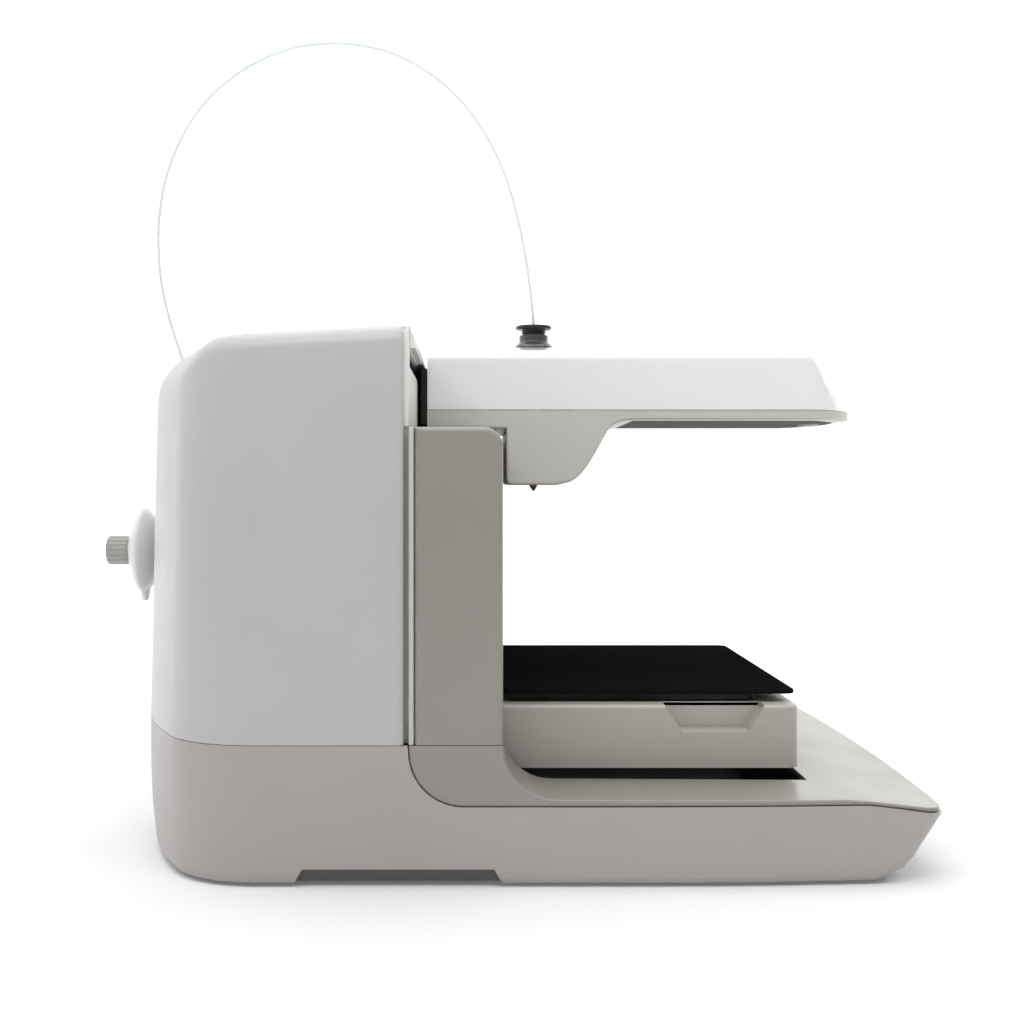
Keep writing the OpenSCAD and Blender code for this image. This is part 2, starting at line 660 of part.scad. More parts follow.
module underside_cover() color([0.36, 0.36, 0.35]) {
    difference() {
        floor_window(arm_floor + 0.2, arm_floor + 1.7, 0.3);
        rod_z([lamp_x, 0, 220], 6.1, 20);
    }
    difference() {
        block([13.3, -47.7, 188.9], [37.7, 47.7, 190.3]);
        block([18, -9, 180], [36.6, 9, 200]);
    }
}
lamp_x = 188;
module arm_lamp() color([0.95, 0.95, 0.9]) union() {
    rod_z([lamp_x, 0, arm_floor - 0.8], 6, 3.5);
    rod_z([lamp_x, 0, arm_floor + 2.7], 9, 1.2);
}

module x_carriage() color([0.1, 0.1, 0.1]) difference() {
    union() {
        for (x = x_rods_x) block([x - 8, -38, 231], [x + 8, 38, 247]);
        block([-100, -38, 243], [-50, 38, 247]);
        block([-100, -38, 247], [-84, 38, 252]);
        block([-84.1, -45, 247], [arm_rear - 0.3, 45, 252]);
        block([arm_rear - 3.3, -arm_half, 222], [arm_rear - 0.3, arm_half, 252]);
        block([belt_x + 3.4, -10, 229], [belt_x + 9.1, 10, 243.1]);
    }
    for (x = x_rods_x) rod_y([x, -60, x_rod_z], 7.55, 120);
    block([belt_x + belt_r - 1, -12, 225], [belt_x + belt_r + 1, 12, belt_z + belt_h + 0.4]);
}
module x_bearings() color([0.75, 0.75, 0.77]) for (x = x_rods_x, y = [-34, 10])
    translate([x, y, x_rod_z]) rotate([-90, 0, 0]) linear_bearing(24);

gear_r = 5.5;
gear_c = [nozzle_x + filament_r + 0.2 + gear_r, 243];
idler_r = 5;
idler_c = [nozzle_x - filament_r - 0.2 - idler_r, 243];
lever_z = 230;
module extruder_motor() color([0.2, 0.2, 0.21]) {
    translate([gear_c[0], 8.1, gear_c[1]]) rotate([-90, 0, 0]) motor(35.2, 24);
    difference() {
        union() {
            block([2, 5.6, 226.4], [gear_c[0] + 17.6, 8, 260]);
            block([2, -9, 252], [5, 8, 260]);
        }
        rod_y([gear_c[0], 5, gear_c[1]], 2.5 + run, 4);
    }
    rod_y([idler_c[0], -8.4, lever_z], 2, 14.5);
}
module drive_gear() color([0.75, 0.65, 0.35]) difference() {
    union() {
        rod_y([gear_c[0], -5, gear_c[1]], gear_r, 10);
        rod_y([gear_c[0], -6.5, gear_c[1]], 2.5, 14.5);
    }
    for (a = [0:15:345]) translate([gear_c[0], 0, gear_c[1]]) rotate([0, a, 0])
        rod_y([gear_r + 0.35, -6, 0], 0.6, 12);
}
module idler_bearing() color([0.75, 0.75, 0.77]) difference() {
    rod_y([idler_c[0], -3.4, idler_c[1]], idler_r, 7);
    rod_y([idler_c[0], -5, idler_c[1]], 2 + run, 10);
}
module idler_lever() color([0.2, 0.35, 0.55]) difference() {
    union() {
        block([idler_c[0] - 5, -7.6, lever_z - 4], [idler_c[0] + 4, -4, 262]);
        rod_y([idler_c[0], -7.6, idler_c[1]], 2, 11.4);
        rod_y([idler_c[0], -7.6, lever_z], 4.4, 3.6);
    }
    rod_y([idler_c[0], -9, lever_z], 2 + run, 10);
}
module lever_spring() color([0.8, 0.8, 0.82]) difference() {
    rod_x([5.1, -5.8, 256], 3, idler_c[0] - 5 - 5.2);
    rod_x([5, -5.8, 256], 2.2, 12);
}

module heat_sink() color([0.8, 0.8, 0.82]) difference() {
    union() {
        for (i = [0:6]) rod_z([nozzle_x, 0, 203 + i * 3.4], 10.5, 1.6);
        rod_z([nozzle_x, 0, 203], 6, 22);
        rod_z([nozzle_x, 0, 225], 3.6, 10);
    }
    rod_z([nozzle_x, 0, 202], 1, 40);
}
module heater_block() color([0.7, 0.68, 0.62]) difference() {
    union() {
        block([nozzle_x - 8, -8, 192.2], [nozzle_x + 8, 8, 200.2]);
        rod_z([nozzle_x, 0, 200.2], 2, 2.7);
    }
    rod_y([nozzle_x + 5, -10, 196], 1.6, 20);
}
module nozzle() color([0.8, 0.65, 0.3]) union() {
    translate([nozzle_x, 0, 189.2]) cylinder(r = 4, h = 3, $fn = 6);
    translate([nozzle_x, 0, nozzle_tip]) cylinder(r1 = 0.6, r2 = 3.2, h = 189.2 - nozzle_tip);
}

fan_z = 211.5;
fan_x = 41;
module fan_frame() color([0.1, 0.1, 0.1]) difference() {
    block([fan_x, -12.5, fan_z - 12.5], [fan_x + 8, 12.5, fan_z + 12.5]);
    rod_x([fan_x - 1, 0, fan_z], 11.6, 7);
    difference() {
        rod_x([fan_x + 5, 0, fan_z], 11.6, 4);
        rod_x([fan_x + 5, 0, fan_z], 5, 4);
        block([fan_x + 5, -12, fan_z - 1], [fan_x + 9, 12, fan_z + 1]);
        block([fan_x + 5, -1, fan_z - 12], [fan_x + 9, 1, fan_z + 12]);
    }
}
module fan_rotor() color([0.12, 0.12, 0.12]) union() {
    rod_x([fan_x + 0.6, 0, fan_z], 5, 5);
    for (a = [0:360 / 7:359]) translate([fan_x + 3.1, 0, fan_z]) rotate([a, 0, 0]) rotate([0, 0, 35])
        block([-0.4, -2.5, 4], [0.4, 2.5, 11]);
}

inlet_low = arm_edge + arm_crown + 0.05;
button_top = 281.9;
module inlet_base() color([0.55, 0.55, 0.54]) difference() {
    union() {
        translate([nozzle_x, 0, inlet_low]) cylinder(r = 11.75, h = 1.2);
        translate([nozzle_x, 0, inlet_low + 1.2]) cylinder(r1 = 11.75, r2 = 8.5, h = 2.8);
        rod_z([nozzle_x, 0, inlet_low + 4], 8.5, 4.2);
        rod_z([nozzle_x, 0, 263], inlet_r - 0.1, inlet_low - 263 + 1);
    }
    rod_z([nozzle_x, 0, 262], 5.2, 12);
    rod_z([nozzle_x, 0, inlet_low + 2.4], 7.3, 12);
}
module inlet_button() color([0.1, 0.1, 0.1]) difference() {
    union() {
        rod_z([nozzle_x, 0, button_top - 2.5], 10.5, 2.5);
        rod_z([nozzle_x, 0, 274], 7, button_top - 2.5 - 274);
        rod_z([nozzle_x, 0, 265], 5, 9);
    }
    rod_z([nozzle_x, 0, 260], 1.2, 30);
}

base_shell();
column_shell();
front_panel();
liner();
recess_tub();
bottom_cover();
rubber_feet();
case_screws();
chassis();
z_rods();
z_motors();
x_rods();
x_motor();
x_belt();
spool_bushes();
filament_guide();
filament_feed();
control_board();
power_supply();
rear_sockets();
filament();
power_rocker();
z_screw_left();
z_screw_right();
x_pulley();
x_idler();
spool();
winding();
hub_flange();
hub_knob();
platform_cover();
platform_frame();
z_bearings();
z_nuts();
bed_rods();
bed_motor();
bed_belt();
bed_pulley();
bed_idler();
bed_carrier();
bed_bearings();
build_plate();
arm_top_shell();
arm_lower_shell();
underside_cover();
x_carriage();
x_bearings();
extruder_motor();
heat_sink();
heater_block();
nozzle();
fan_frame();
inlet_base();
arm_lamp();
fan_rotor();
drive_gear();
idler_lever();
idler_bearing();
lever_spring();
inlet_button();
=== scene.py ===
"""The looks of a desktop filament printer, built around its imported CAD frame.

Lengths are in millimetres until a mesh is made, and the frame is the CAD's: +X front, +Y far side, +Z up.
"""

import math

import bmesh
import bpy
from mathutils import Matrix, Vector


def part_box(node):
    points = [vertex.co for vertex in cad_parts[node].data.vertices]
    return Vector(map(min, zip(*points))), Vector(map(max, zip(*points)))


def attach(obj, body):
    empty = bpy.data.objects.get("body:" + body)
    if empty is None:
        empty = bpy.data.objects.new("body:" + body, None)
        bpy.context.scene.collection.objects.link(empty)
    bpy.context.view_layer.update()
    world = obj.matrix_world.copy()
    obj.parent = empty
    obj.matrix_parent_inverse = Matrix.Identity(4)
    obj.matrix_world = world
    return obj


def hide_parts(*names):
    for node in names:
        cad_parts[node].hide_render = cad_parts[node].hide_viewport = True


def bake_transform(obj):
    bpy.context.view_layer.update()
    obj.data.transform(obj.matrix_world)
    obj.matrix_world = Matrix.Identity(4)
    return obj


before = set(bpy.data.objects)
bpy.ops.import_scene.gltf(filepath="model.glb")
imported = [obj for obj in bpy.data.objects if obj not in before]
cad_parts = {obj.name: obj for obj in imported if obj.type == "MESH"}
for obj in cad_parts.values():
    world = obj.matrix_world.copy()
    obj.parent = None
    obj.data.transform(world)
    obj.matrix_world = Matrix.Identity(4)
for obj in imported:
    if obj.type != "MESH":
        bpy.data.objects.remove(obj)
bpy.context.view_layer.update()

MM = 0.001
WALL = 2.5


# ---------- small maths ----------

def mix(a, b, t):
    return a + (b - a) * t


def ease(t):
    t = min(1.0, max(0.0, t))
    return t * t * (3 - 2 * t)


def arc(centre, radius, start, end, steps):
    """Points of a circle's arc, in degrees, both ends included."""
    angles = [math.radians(mix(start, end, i / steps)) for i in range(steps + 1)]
    return [(centre[0] + radius * math.cos(a), centre[1] + radius * math.sin(a)) for a in angles]


def spline(points, steps):
    """A smooth curve through points of any size, with steps rings to each span."""
    rows = [Vector(p) for p in points]
    ends = [2 * rows[0] - rows[1]] + rows + [2 * rows[-1] - rows[-2]]
    made = []
    for a, b, c, d in zip(ends, ends[1:], ends[2:], ends[3:]):
        for k in range(steps):
            t = k / steps
            made.append(0.5 * (2 * b + (c - a) * t + (2 * a - 5 * b + 4 * c - d) * t * t
                               + (3 * b - a - 3 * c + d) * t * t * t))
    return made + [rows[-1]]


def map_range(tree, value, low, high, to_low, to_high):
    """Maps a value from one range to another, held at the ends."""
    node = tree.nodes.new("ShaderNodeMapRange")
    for socket, number in zip(("From Min", "From Max", "To Min", "To Max"), (low, high, to_low, to_high)):
        node.inputs[socket].default_value = number
    tree.links.new(value, node.inputs["Value"])
    return node.outputs["Result"]


# ---------- camera and lights ----------

def make_camera():
    data = bpy.data.cameras.new("view")
    data.lens = 49.2
    data.sensor_width = 36
    data.shift_x = 0.0361
    data.shift_y = -0.0244
    data.clip_end = 50
    camera = bpy.data.objects.new("view", data)
    camera.location = Vector((-7, -820, 187.6)) * MM
    camera.rotation_euler = (math.pi / 2, 0, 0)
    bpy.context.scene.collection.objects.link(camera)
    bpy.context.scene.camera = camera


def area_light(name, place, target, size, power):
    """A rectangular lamp at place, turned towards target; both in metres."""
    data = bpy.data.lights.new(name, "AREA")
    data.shape = "RECTANGLE"
    data.size, data.size_y = size
    data.energy = power
    lamp = bpy.data.objects.new(name, data)
    lamp.location = place
    lamp.rotation_euler = (Vector(target) - Vector(place)).to_track_quat("-Z", "Y").to_euler()
    bpy.context.scene.collection.objects.link(lamp)


def make_lights():
    """A white surround, brightest above and behind, and four soft lamps."""
    world = bpy.data.worlds.new("studio")
    bpy.context.scene.world = world
    world.use_nodes = True
    tree = world.node_tree
    way = tree.nodes.new("ShaderNodeTexCoord")
    parts = tree.nodes.new("ShaderNodeSeparateXYZ")
    tree.links.new(way.outputs["Generated"], parts.inputs[0])
    rise = map_range(tree, parts.outputs["Z"], -0.3, 0.9, 0.2, 1.0)
    behind = map_range(tree, parts.outputs["Y"], -1, 0.8, 0.3, 1.2)
    right = map_range(tree, parts.outputs["X"], 0, 0.9, 1, 0.35)
    strength = rise
    for share in (behind, right):
        both = tree.nodes.new("ShaderNodeMath")
        both.operation = "MULTIPLY"
        tree.links.new(strength, both.inputs[0])
        tree.links.new(share, both.inputs[1])
        strength = both.outputs[0]
    tree.links.new(strength, tree.nodes["Background"].inputs["Strength"])
    tree.nodes["Background"].inputs["Color"].default_value = (1, 0.985, 0.98, 1)
    area_light("top_light", (-0.1, 0.08, 1.7), (0, 0, 0.1), (1.8, 1.5), 13)
    area_light("left_light", (-1.6, 0.1, 0.9), (0, 0, 0.15), (1.2, 1.4), 3)
    area_light("right_light", (1.7, 0.2, 1.1), (0, 0, 0.2), (1.2, 1.2), 2.5)
    area_light("front_light", (0.12, -0.56, 0.78), (0.1, 0, 0.26), (1.5, 0.2), 3.7)


# ---------- mesh tools ----------

def grid(rows, around=False, lids=()):
    """Vertices and faces of a grid of points; around joins the ends of each row."""
    width = len(rows[0])
    verts = [tuple(p) for row in rows for p in row]
    faces = []
    for i in range(len(rows) - 1):
        for j in range(width if around else width - 1):
            k = (j + 1) % width
            faces.append((i * width + j, i * width + k, (i + 1) * width + k, (i + 1) * width + j))
    if "first" in lids:
        faces.append(tuple(range(width))[::-1])
    if "last" in lids:
        faces.append(tuple(range((len(rows) - 1) * width, len(rows) * width)))
    return verts, faces


def merged(*shapes):
    """Several shapes as one."""
    verts, faces = [], []
    for v, f in shapes:
        start = len(verts)
        verts += v
        faces += [tuple(start + i for i in face) for face in f]
    return verts, faces


def raw(name, shape):
    """An object from a shape in millimetres, with doubled points welded and faces turned outwards."""
    mesh = bpy.data.meshes.new(name)
    mesh.from_pydata([Vector(v) * MM for v in shape[0]], [], shape[1])
    work = bmesh.new()
    work.from_mesh(mesh)
    bmesh.ops.remove_doubles(work, verts=work.verts, dist=1e-6)
    bmesh.ops.dissolve_degenerate(work, edges=work.edges, dist=1e-7)
    bmesh.ops.recalc_face_normals(work, faces=work.faces)
    work.to_mesh(mesh)
    work.free()
    obj = bpy.data.objects.new(name, mesh)
    bpy.context.scene.collection.objects.link(obj)
    return obj


def bake(obj):
    """Applies the modifiers to the mesh."""
    graph = bpy.context.evaluated_depsgraph_get()
    mesh = bpy.data.meshes.new_from_object(obj.evaluated_get(graph))
    old = obj.data
    obj.modifiers.clear()
    obj.data = mesh
    bpy.data.meshes.remove(old)
    mesh.name = obj.name


def thicken(obj, wall):
    """Turns a surface into a wall that grows inwards."""
    solid = obj.modifiers.new("wall", "SOLIDIFY")
    solid.thickness = wall * MM
    solid.offset = -1
    solid.use_even_offset = True
    bake(obj)


def cut(obj, *shapes):
    """Takes closed shapes away from the object."""
    for shape in shapes:
        tool = raw("cutter", shape)
        join = obj.modifiers.new("cut", "BOOLEAN")
        join.operation = "DIFFERENCE"
        join.solver = "EXACT"
        join.object = tool
        bake(obj)
        bpy.data.objects.remove(tool)


def shade_smooth(obj, material=None):
    if material:
        obj.data.materials.append(material)
    for face in obj.data.polygons:
        face.use_smooth = True


def soften(obj, bevel):
    """Rounds the sharp edges and shades the rest smooth."""
    if bevel:
        edge = obj.modifiers.new("edges", "BEVEL")
        edge.width = bevel * MM
        edge.segments = 2
        edge.limit_method = "ANGLE"
        edge.angle_limit = math.radians(35)
        edge.use_clamp_overlap = True
    even = obj.modifiers.new("shading", "WEIGHTED_NORMAL")
    even.keep_sharp = False
    even.weight = 60
    shade_smooth(obj)


def settle(obj, material, body, stands_for=(), bevel=0.3):
    """Finishes a new piece: material, edges, the body it rides on and the CAD nodes it stands for."""
    obj.data.materials.clear()
    obj.data.materials.append(material)
    soften(obj, bevel)
    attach(obj, body)
    if stands_for:
        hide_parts(*stands_for)
    return obj


def box_shape(low, high):
    (x0, y0, z0), (x1, y1, z1) = low, high
    corners = [(x, y, z) for x in (x0, x1) for y in (y0, y1) for z in (z0, z1)]
    return corners, [(0, 1, 3, 2), (4, 6, 7, 5), (0, 4, 5, 1), (2, 3, 7, 6), (0, 2, 6, 4), (1, 5, 7, 3)]


def across_shape(outline, low, high):
    """An outline in X and Z, extruded along Y."""
    return grid([[(x, y, z) for x, z in outline] for y in (low, high)], True, ("first", "last"))


def turned(profile, centre, axis, steps=64, flutes=0, depth=0.0):
    """Profile points (radius, distance along the axis) spun round it, with optional grip flutes."""
    rows = []
    for radius, along in profile:
        row = []
        for k in range(steps):
            a = 2 * math.pi * k / steps
            r = radius
            if flutes:
                r -= min(radius, depth) * max(0.0, math.cos(flutes * a)) ** 2
            u, v = r * math.cos(a), r * math.sin(a)
            row.append(tuple(Vector(centre) + Vector({"x": (along, u, v), "z": (u, v, along)}[axis])))
        rows.append(row)
    return grid(rows, True, ("first", "last"))


def tube(route, radius, sides, side=(0, 1, 0)):
    """A round tube along a route."""
    rows = []
    for i, p in enumerate(route):
        along = (route[min(i + 1, len(route) - 1)] - route[max(i - 1, 0)]).normalized()
        u = along.cross(Vector(side)).normalized()
        v = u.cross(along)
        turns = [2 * math.pi * k / sides for k in range(sides)]
        rows.append([p + radius * (math.cos(a) * u + math.sin(a) * v) for a in turns])
    return grid(rows, True, ("first", "last"))


def ribbon(upper, lower, edge, radius, steps=5, spans=8):
    """A solid between two equally long chains of (x, z, inset x, inset z), with rounded sides.

    It reaches edge(x) each way; radius is its rounding.
    """
    loop = upper + lower[::-1]

    def row(side, inset, back):
        return [(x - mx * inset, side * (edge(x) - back), z - mz * inset) for x, z, mx, mz in loop]

    angles = [math.pi / 2 * k / steps for k in range(steps + 1)]
    near = [row(-1, radius * (1 - math.sin(a)), radius * (1 - math.cos(a))) for a in angles]
    far = [[(x, -y, z) for x, y, z in r] for r in near[::-1]]
    middle = [[(x, y * (1 - 2 * k / spans), z) for x, y, z in near[-1]] for k in range(1, spans)]
    verts, faces = grid(near + middle + far, True)
    count = len(upper)
    last = len(verts) - 2 * count
    for j in range(count - 1):
        quad = (j, j + 1, 2 * count - 2 - j, 2 * count - 1 - j)
        faces.append(quad)
        faces.append(tuple(last + i for i in quad[::-1]))
    return verts, faces


# ---------- materials ----------

def new_material(name, colour, rough, metal=0.0, **sockets):
    """A material with its shader's constants set; sockets are named with _ for a space."""
    material = bpy.data.materials.new(name)
    material.use_nodes = True
    shader = material.node_tree.nodes["Principled BSDF"]
    shader.inputs["Base Color"].default_value = (*colour, 1)
    shader.inputs["Roughness"].default_value = rough
    shader.inputs["Metallic"].default_value = metal
    for socket, value in sockets.items():
        shader.inputs[socket.replace("_", " ")].default_value = value
    return material, material.node_tree, shader


def place_on_object(tree):
    return tree.nodes.new("ShaderNodeTexCoord").outputs["Object"]


def noise(tree, scale, detail=3.0, stretch=(1, 1, 1)):
    """Noise by place on the object: scale is in features per metre."""
    spread = tree.nodes.new("ShaderNodeMapping")
    spread.inputs["Scale"].default_value = stretch
    made = tree.nodes.new("ShaderNodeTexNoise")
    made.inputs["Scale"].default_value = scale
    made.inputs["Detail"].default_value = detail
    tree.links.new(place_on_object(tree), spread.inputs["Vector"])
    tree.links.new(spread.outputs["Vector"], made.inputs["Vector"])
    return made.outputs["Fac"]


def mottle(tree, shader, colour, amount, factor, other=None):
    """Colour that drifts between two tones by a noise."""
    ramp = tree.nodes.new("ShaderNodeValToRGB")
    low = [c * (1 - amount) for c in colour]
    high = other or [min(1, c * (1 + amount)) for c in colour]
    ramp.color_ramp.elements[0].position = 0.3
    ramp.color_ramp.elements[0].color = (*low, 1)
    ramp.color_ramp.elements[1].position = 0.7
    ramp.color_ramp.elements[1].color = (*high, 1)
    tree.links.new(factor, ramp.inputs["Fac"])
    tree.links.new(ramp.outputs["Color"], shader.inputs["Base Color"])


def vary_rough(tree, shader, rough, spread, factor):
    """Roughness that drifts by spread each way with a factor."""
    drift = map_range(tree, factor, 0.25, 0.75, rough - spread, rough + spread)
    tree.links.new(drift, shader.inputs["Roughness"])


def bump(tree, shader, height, depth, strength=1.0):
    """Surface relief from a height, depth in millimetres."""
    made = tree.nodes.new("ShaderNodeBump")
    made.inputs["Strength"].default_value = strength
    made.inputs["Distance"].default_value = depth * MM
    tree.links.new(height, made.inputs["Height"])
    tree.links.new(made.outputs["Normal"], shader.inputs["Normal"])


def moulded(name, colour, rough=0.5, grain=0.02, scale=2200, tone=0.02, **sockets):
    """Moulded plastic: fine spark-eroded grain, faint drift of tone, handled patches a little smoother."""
    material, tree, shader = new_material(name, colour, rough, **sockets)
    mottle(tree, shader, colour, tone, noise(tree, 14, 2))
    vary_rough(tree, shader, rough, 0.05, noise(tree, 45, 4))
    bump(tree, shader, noise(tree, scale, 2), grain, 0.35)
    return material


def glossy(name, colour):
    """Polished plastic with a slight ripple in its reflections."""
    rough = 0.16
    material, tree, shader = new_material(name, colour, rough, Coat_Weight=0.6, Coat_Roughness=0.06)
    mottle(tree, shader, colour, 0.012, noise(tree, 9, 2))
    vary_rough(tree, shader, rough, 0.04, noise(tree, 60, 4))
    bump(tree, shader, noise(tree, 70, 1), 0.03, 0.25)
    return material


def powder(name, colour, rough=0.55):
    """Powder coat: orange-peel lumps about half a millimetre across."""
    material, tree, shader = new_material(name, colour, rough, Specular_IOR_Level=0.3)
    mottle(tree, shader, colour, 0.12, noise(tree, 600, 3))
    vary_rough(tree, shader, rough, 0.08, noise(tree, 90, 3))
    bump(tree, shader, noise(tree, 1400, 2), 0.06, 0.5)
    return material


def metal(name, colour, rough=0.3, stretch=(1, 1, 1), tarnish=0.06, scale=500):
    """Bare metal: fine tool marks along the long way of stretch, and a little tarnish."""
    material, tree, shader = new_material(name, colour, rough, 1.0)
    lines = noise(tree, scale, 5, stretch)
    mottle(tree, shader, colour, tarnish, noise(tree, 120, 4))
    vary_rough(tree, shader, rough, 0.1, lines)
    bump(tree, shader, lines, 0.015, 0.5)
    return material


def rubber(name, ribs=None):
    """Dull rubber with a dusty bloom; ribs gives the axis and number per metre of moulded teeth."""
    colour = (0.02, 0.02, 0.02)
    material, tree, shader = new_material(name, colour, 0.8)
    mottle(tree, shader, colour, 0.2, noise(tree, 150, 4), [c * 1.9 for c in colour])
    vary_rough(tree, shader, 0.8, 0.08, noise(tree, 400, 3))
    height = noise(tree, 2600, 2)
    if ribs:
        wave = tree.nodes.new("ShaderNodeTexWave")
        wave.bands_direction = ribs[0]
        wave.inputs["Scale"].default_value = ribs[1]
        tree.links.new(place_on_object(tree), wave.inputs["Vector"])
        height = wave.outputs["Fac"]
    bump(tree, shader, height, 0.4 if ribs else 0.05, 0.6)
    return material


def circuit(name):
    """Green solder mask over faint copper tracks."""
    colour = (0.025, 0.15, 0.075)
    material, tree, shader = new_material(name, colour, 0.32, Coat_Weight=0.3)
    tracks = tree.nodes.new("ShaderNodeTexBrick")
    tracks.inputs["Scale"].default_value = 90
    tracks.inputs["Mortar Size"].default_value = 0.035
    tracks.inputs["Color1"].default_value = (*colour, 1)
    tracks.inputs["Color2"].default_value = (0.03, 0.19, 0.09, 1)
    tracks.inputs["Mortar"].default_value = (0.06, 0.3, 0.13, 1)
    tree.links.new(place_on_object(tree), tracks.inputs["Vector"])
    tree.links.new(tracks.outputs["Color"], shader.inputs["Base Color"])
    bump(tree, shader, tracks.outputs["Fac"], 0.03, 0.4)
    return material


def zinc(name):
    """Zinc-coated sheet with its spangle."""
    colour = (0.62, 0.63, 0.64)
    material, tree, shader = new_material(name, colour, 0.38, 0.9)
    cells = tree.nodes.new("ShaderNodeTexVoronoi")
    cells.inputs["Scale"].default_value = 160
    tree.links.new(place_on_object(tree), cells.inputs["Vector"])
    mottle(tree, shader, colour, 0.16, cells.outputs["Distance"])
    vary_rough(tree, shader, 0.38, 0.1, cells.outputs["Distance"])
    bump(tree, shader, noise(tree, 900, 3), 0.01, 0.4)
    return material


def heat_stained(name):
    """Aluminium with patches gone straw and brown."""
    material, tree, shader = new_material(name, (0.6, 0.57, 0.5), 0.4, 1.0)
    mottle(tree, shader, (0.36, 0.27, 0.18), 0.2, noise(tree, 110, 3), [0.68, 0.64, 0.56])
    vary_rough(tree, shader, 0.4, 0.1, noise(tree, 700, 4, (1, 8, 1)))
    bump(tree, shader, noise(tree, 900, 4, (1, 8, 1)), 0.015, 0.5)
    return material


def mint(name):
    """Pale translucent filament, a little uneven in thickness."""
    colour = (0.76, 0.87, 0.8)
    material, tree, shader = new_material(name, colour, 0.35, Subsurface_Weight=0.2, Subsurface_Scale=0.001)
    mottle(tree, shader, colour, 0.03, noise(tree, 60, 2))
    vary_rough(tree, shader, 0.28, 0.06, noise(tree, 300, 3))
    bump(tree, shader, noise(tree, 420, 2), 0.02, 0.4)
    return material


def wound(name):
    """Windings side by side on the spool."""
    colour = (0.6, 0.8, 0.68)
    material, tree, shader = new_material(name, colour, 0.3, Subsurface_Weight=0.2, Subsurface_Scale=0.001)
    mottle(tree, shader, colour, 0.06, noise(tree, 90, 3))
    turns = tree.nodes.new("ShaderNodeTexWave")
    turns.bands_direction = "X"
    turns.inputs["Scale"].default_value = 90
    turns.inputs["Distortion"].default_value = 0.4
    tree.links.new(place_on_object(tree), turns.inputs["Vector"])
    bump(tree, shader, turns.outputs["Fac"], 0.6, 0.8)
    return material


def frosted(name):
    """The lamp's milky window."""
    colour = (0.88, 0.88, 0.84)
    material, tree, shader = new_material(name, colour, 0.5, Transmission_Weight=0.45)
    mottle(tree, shader, colour, 0.02, noise(tree, 80, 2))
    bump(tree, shader, noise(tree, 1800, 2), 0.03, 0.5)
    return material


def plate_finish(name):
    """Build plate: black sheet with a fine sparkling grain, wiped smoother in places."""
    colour = (0.0065, 0.007, 0.0072)
    material, tree, shader = new_material(name, colour, 0.75, Specular_IOR_Level=0.0)
    mottle(tree, shader, colour, 0.25, noise(tree, 900, 3), [0.011, 0.012, 0.0122])
    vary_rough(tree, shader, 0.72, 0.1, noise(tree, 35, 4))
    bump(tree, shader, noise(tree, 3200, 2), 0.05, 0.6)
    return material


def studio_floor(name):
    """Pale floor that brightens behind the object, so that it runs into the backdrop."""
    colour = (0.8, 0.8, 0.8)
    material, tree, shader = new_material(name, colour, 0.9)
    mottle(tree, shader, colour, 0.006, noise(tree, 3, 2))
    parts = tree.nodes.new("ShaderNodeSeparateXYZ")
    tree.links.new(place_on_object(tree), parts.inputs[0])
    shader.inputs["Emission Color"].default_value = (1, 1, 1, 1)
    glow = map_range(tree, parts.outputs["Y"], -0.1, 1.1, 0.11, 0.9)
    tree.links.new(glow, shader.inputs["Emission Strength"])
    return material


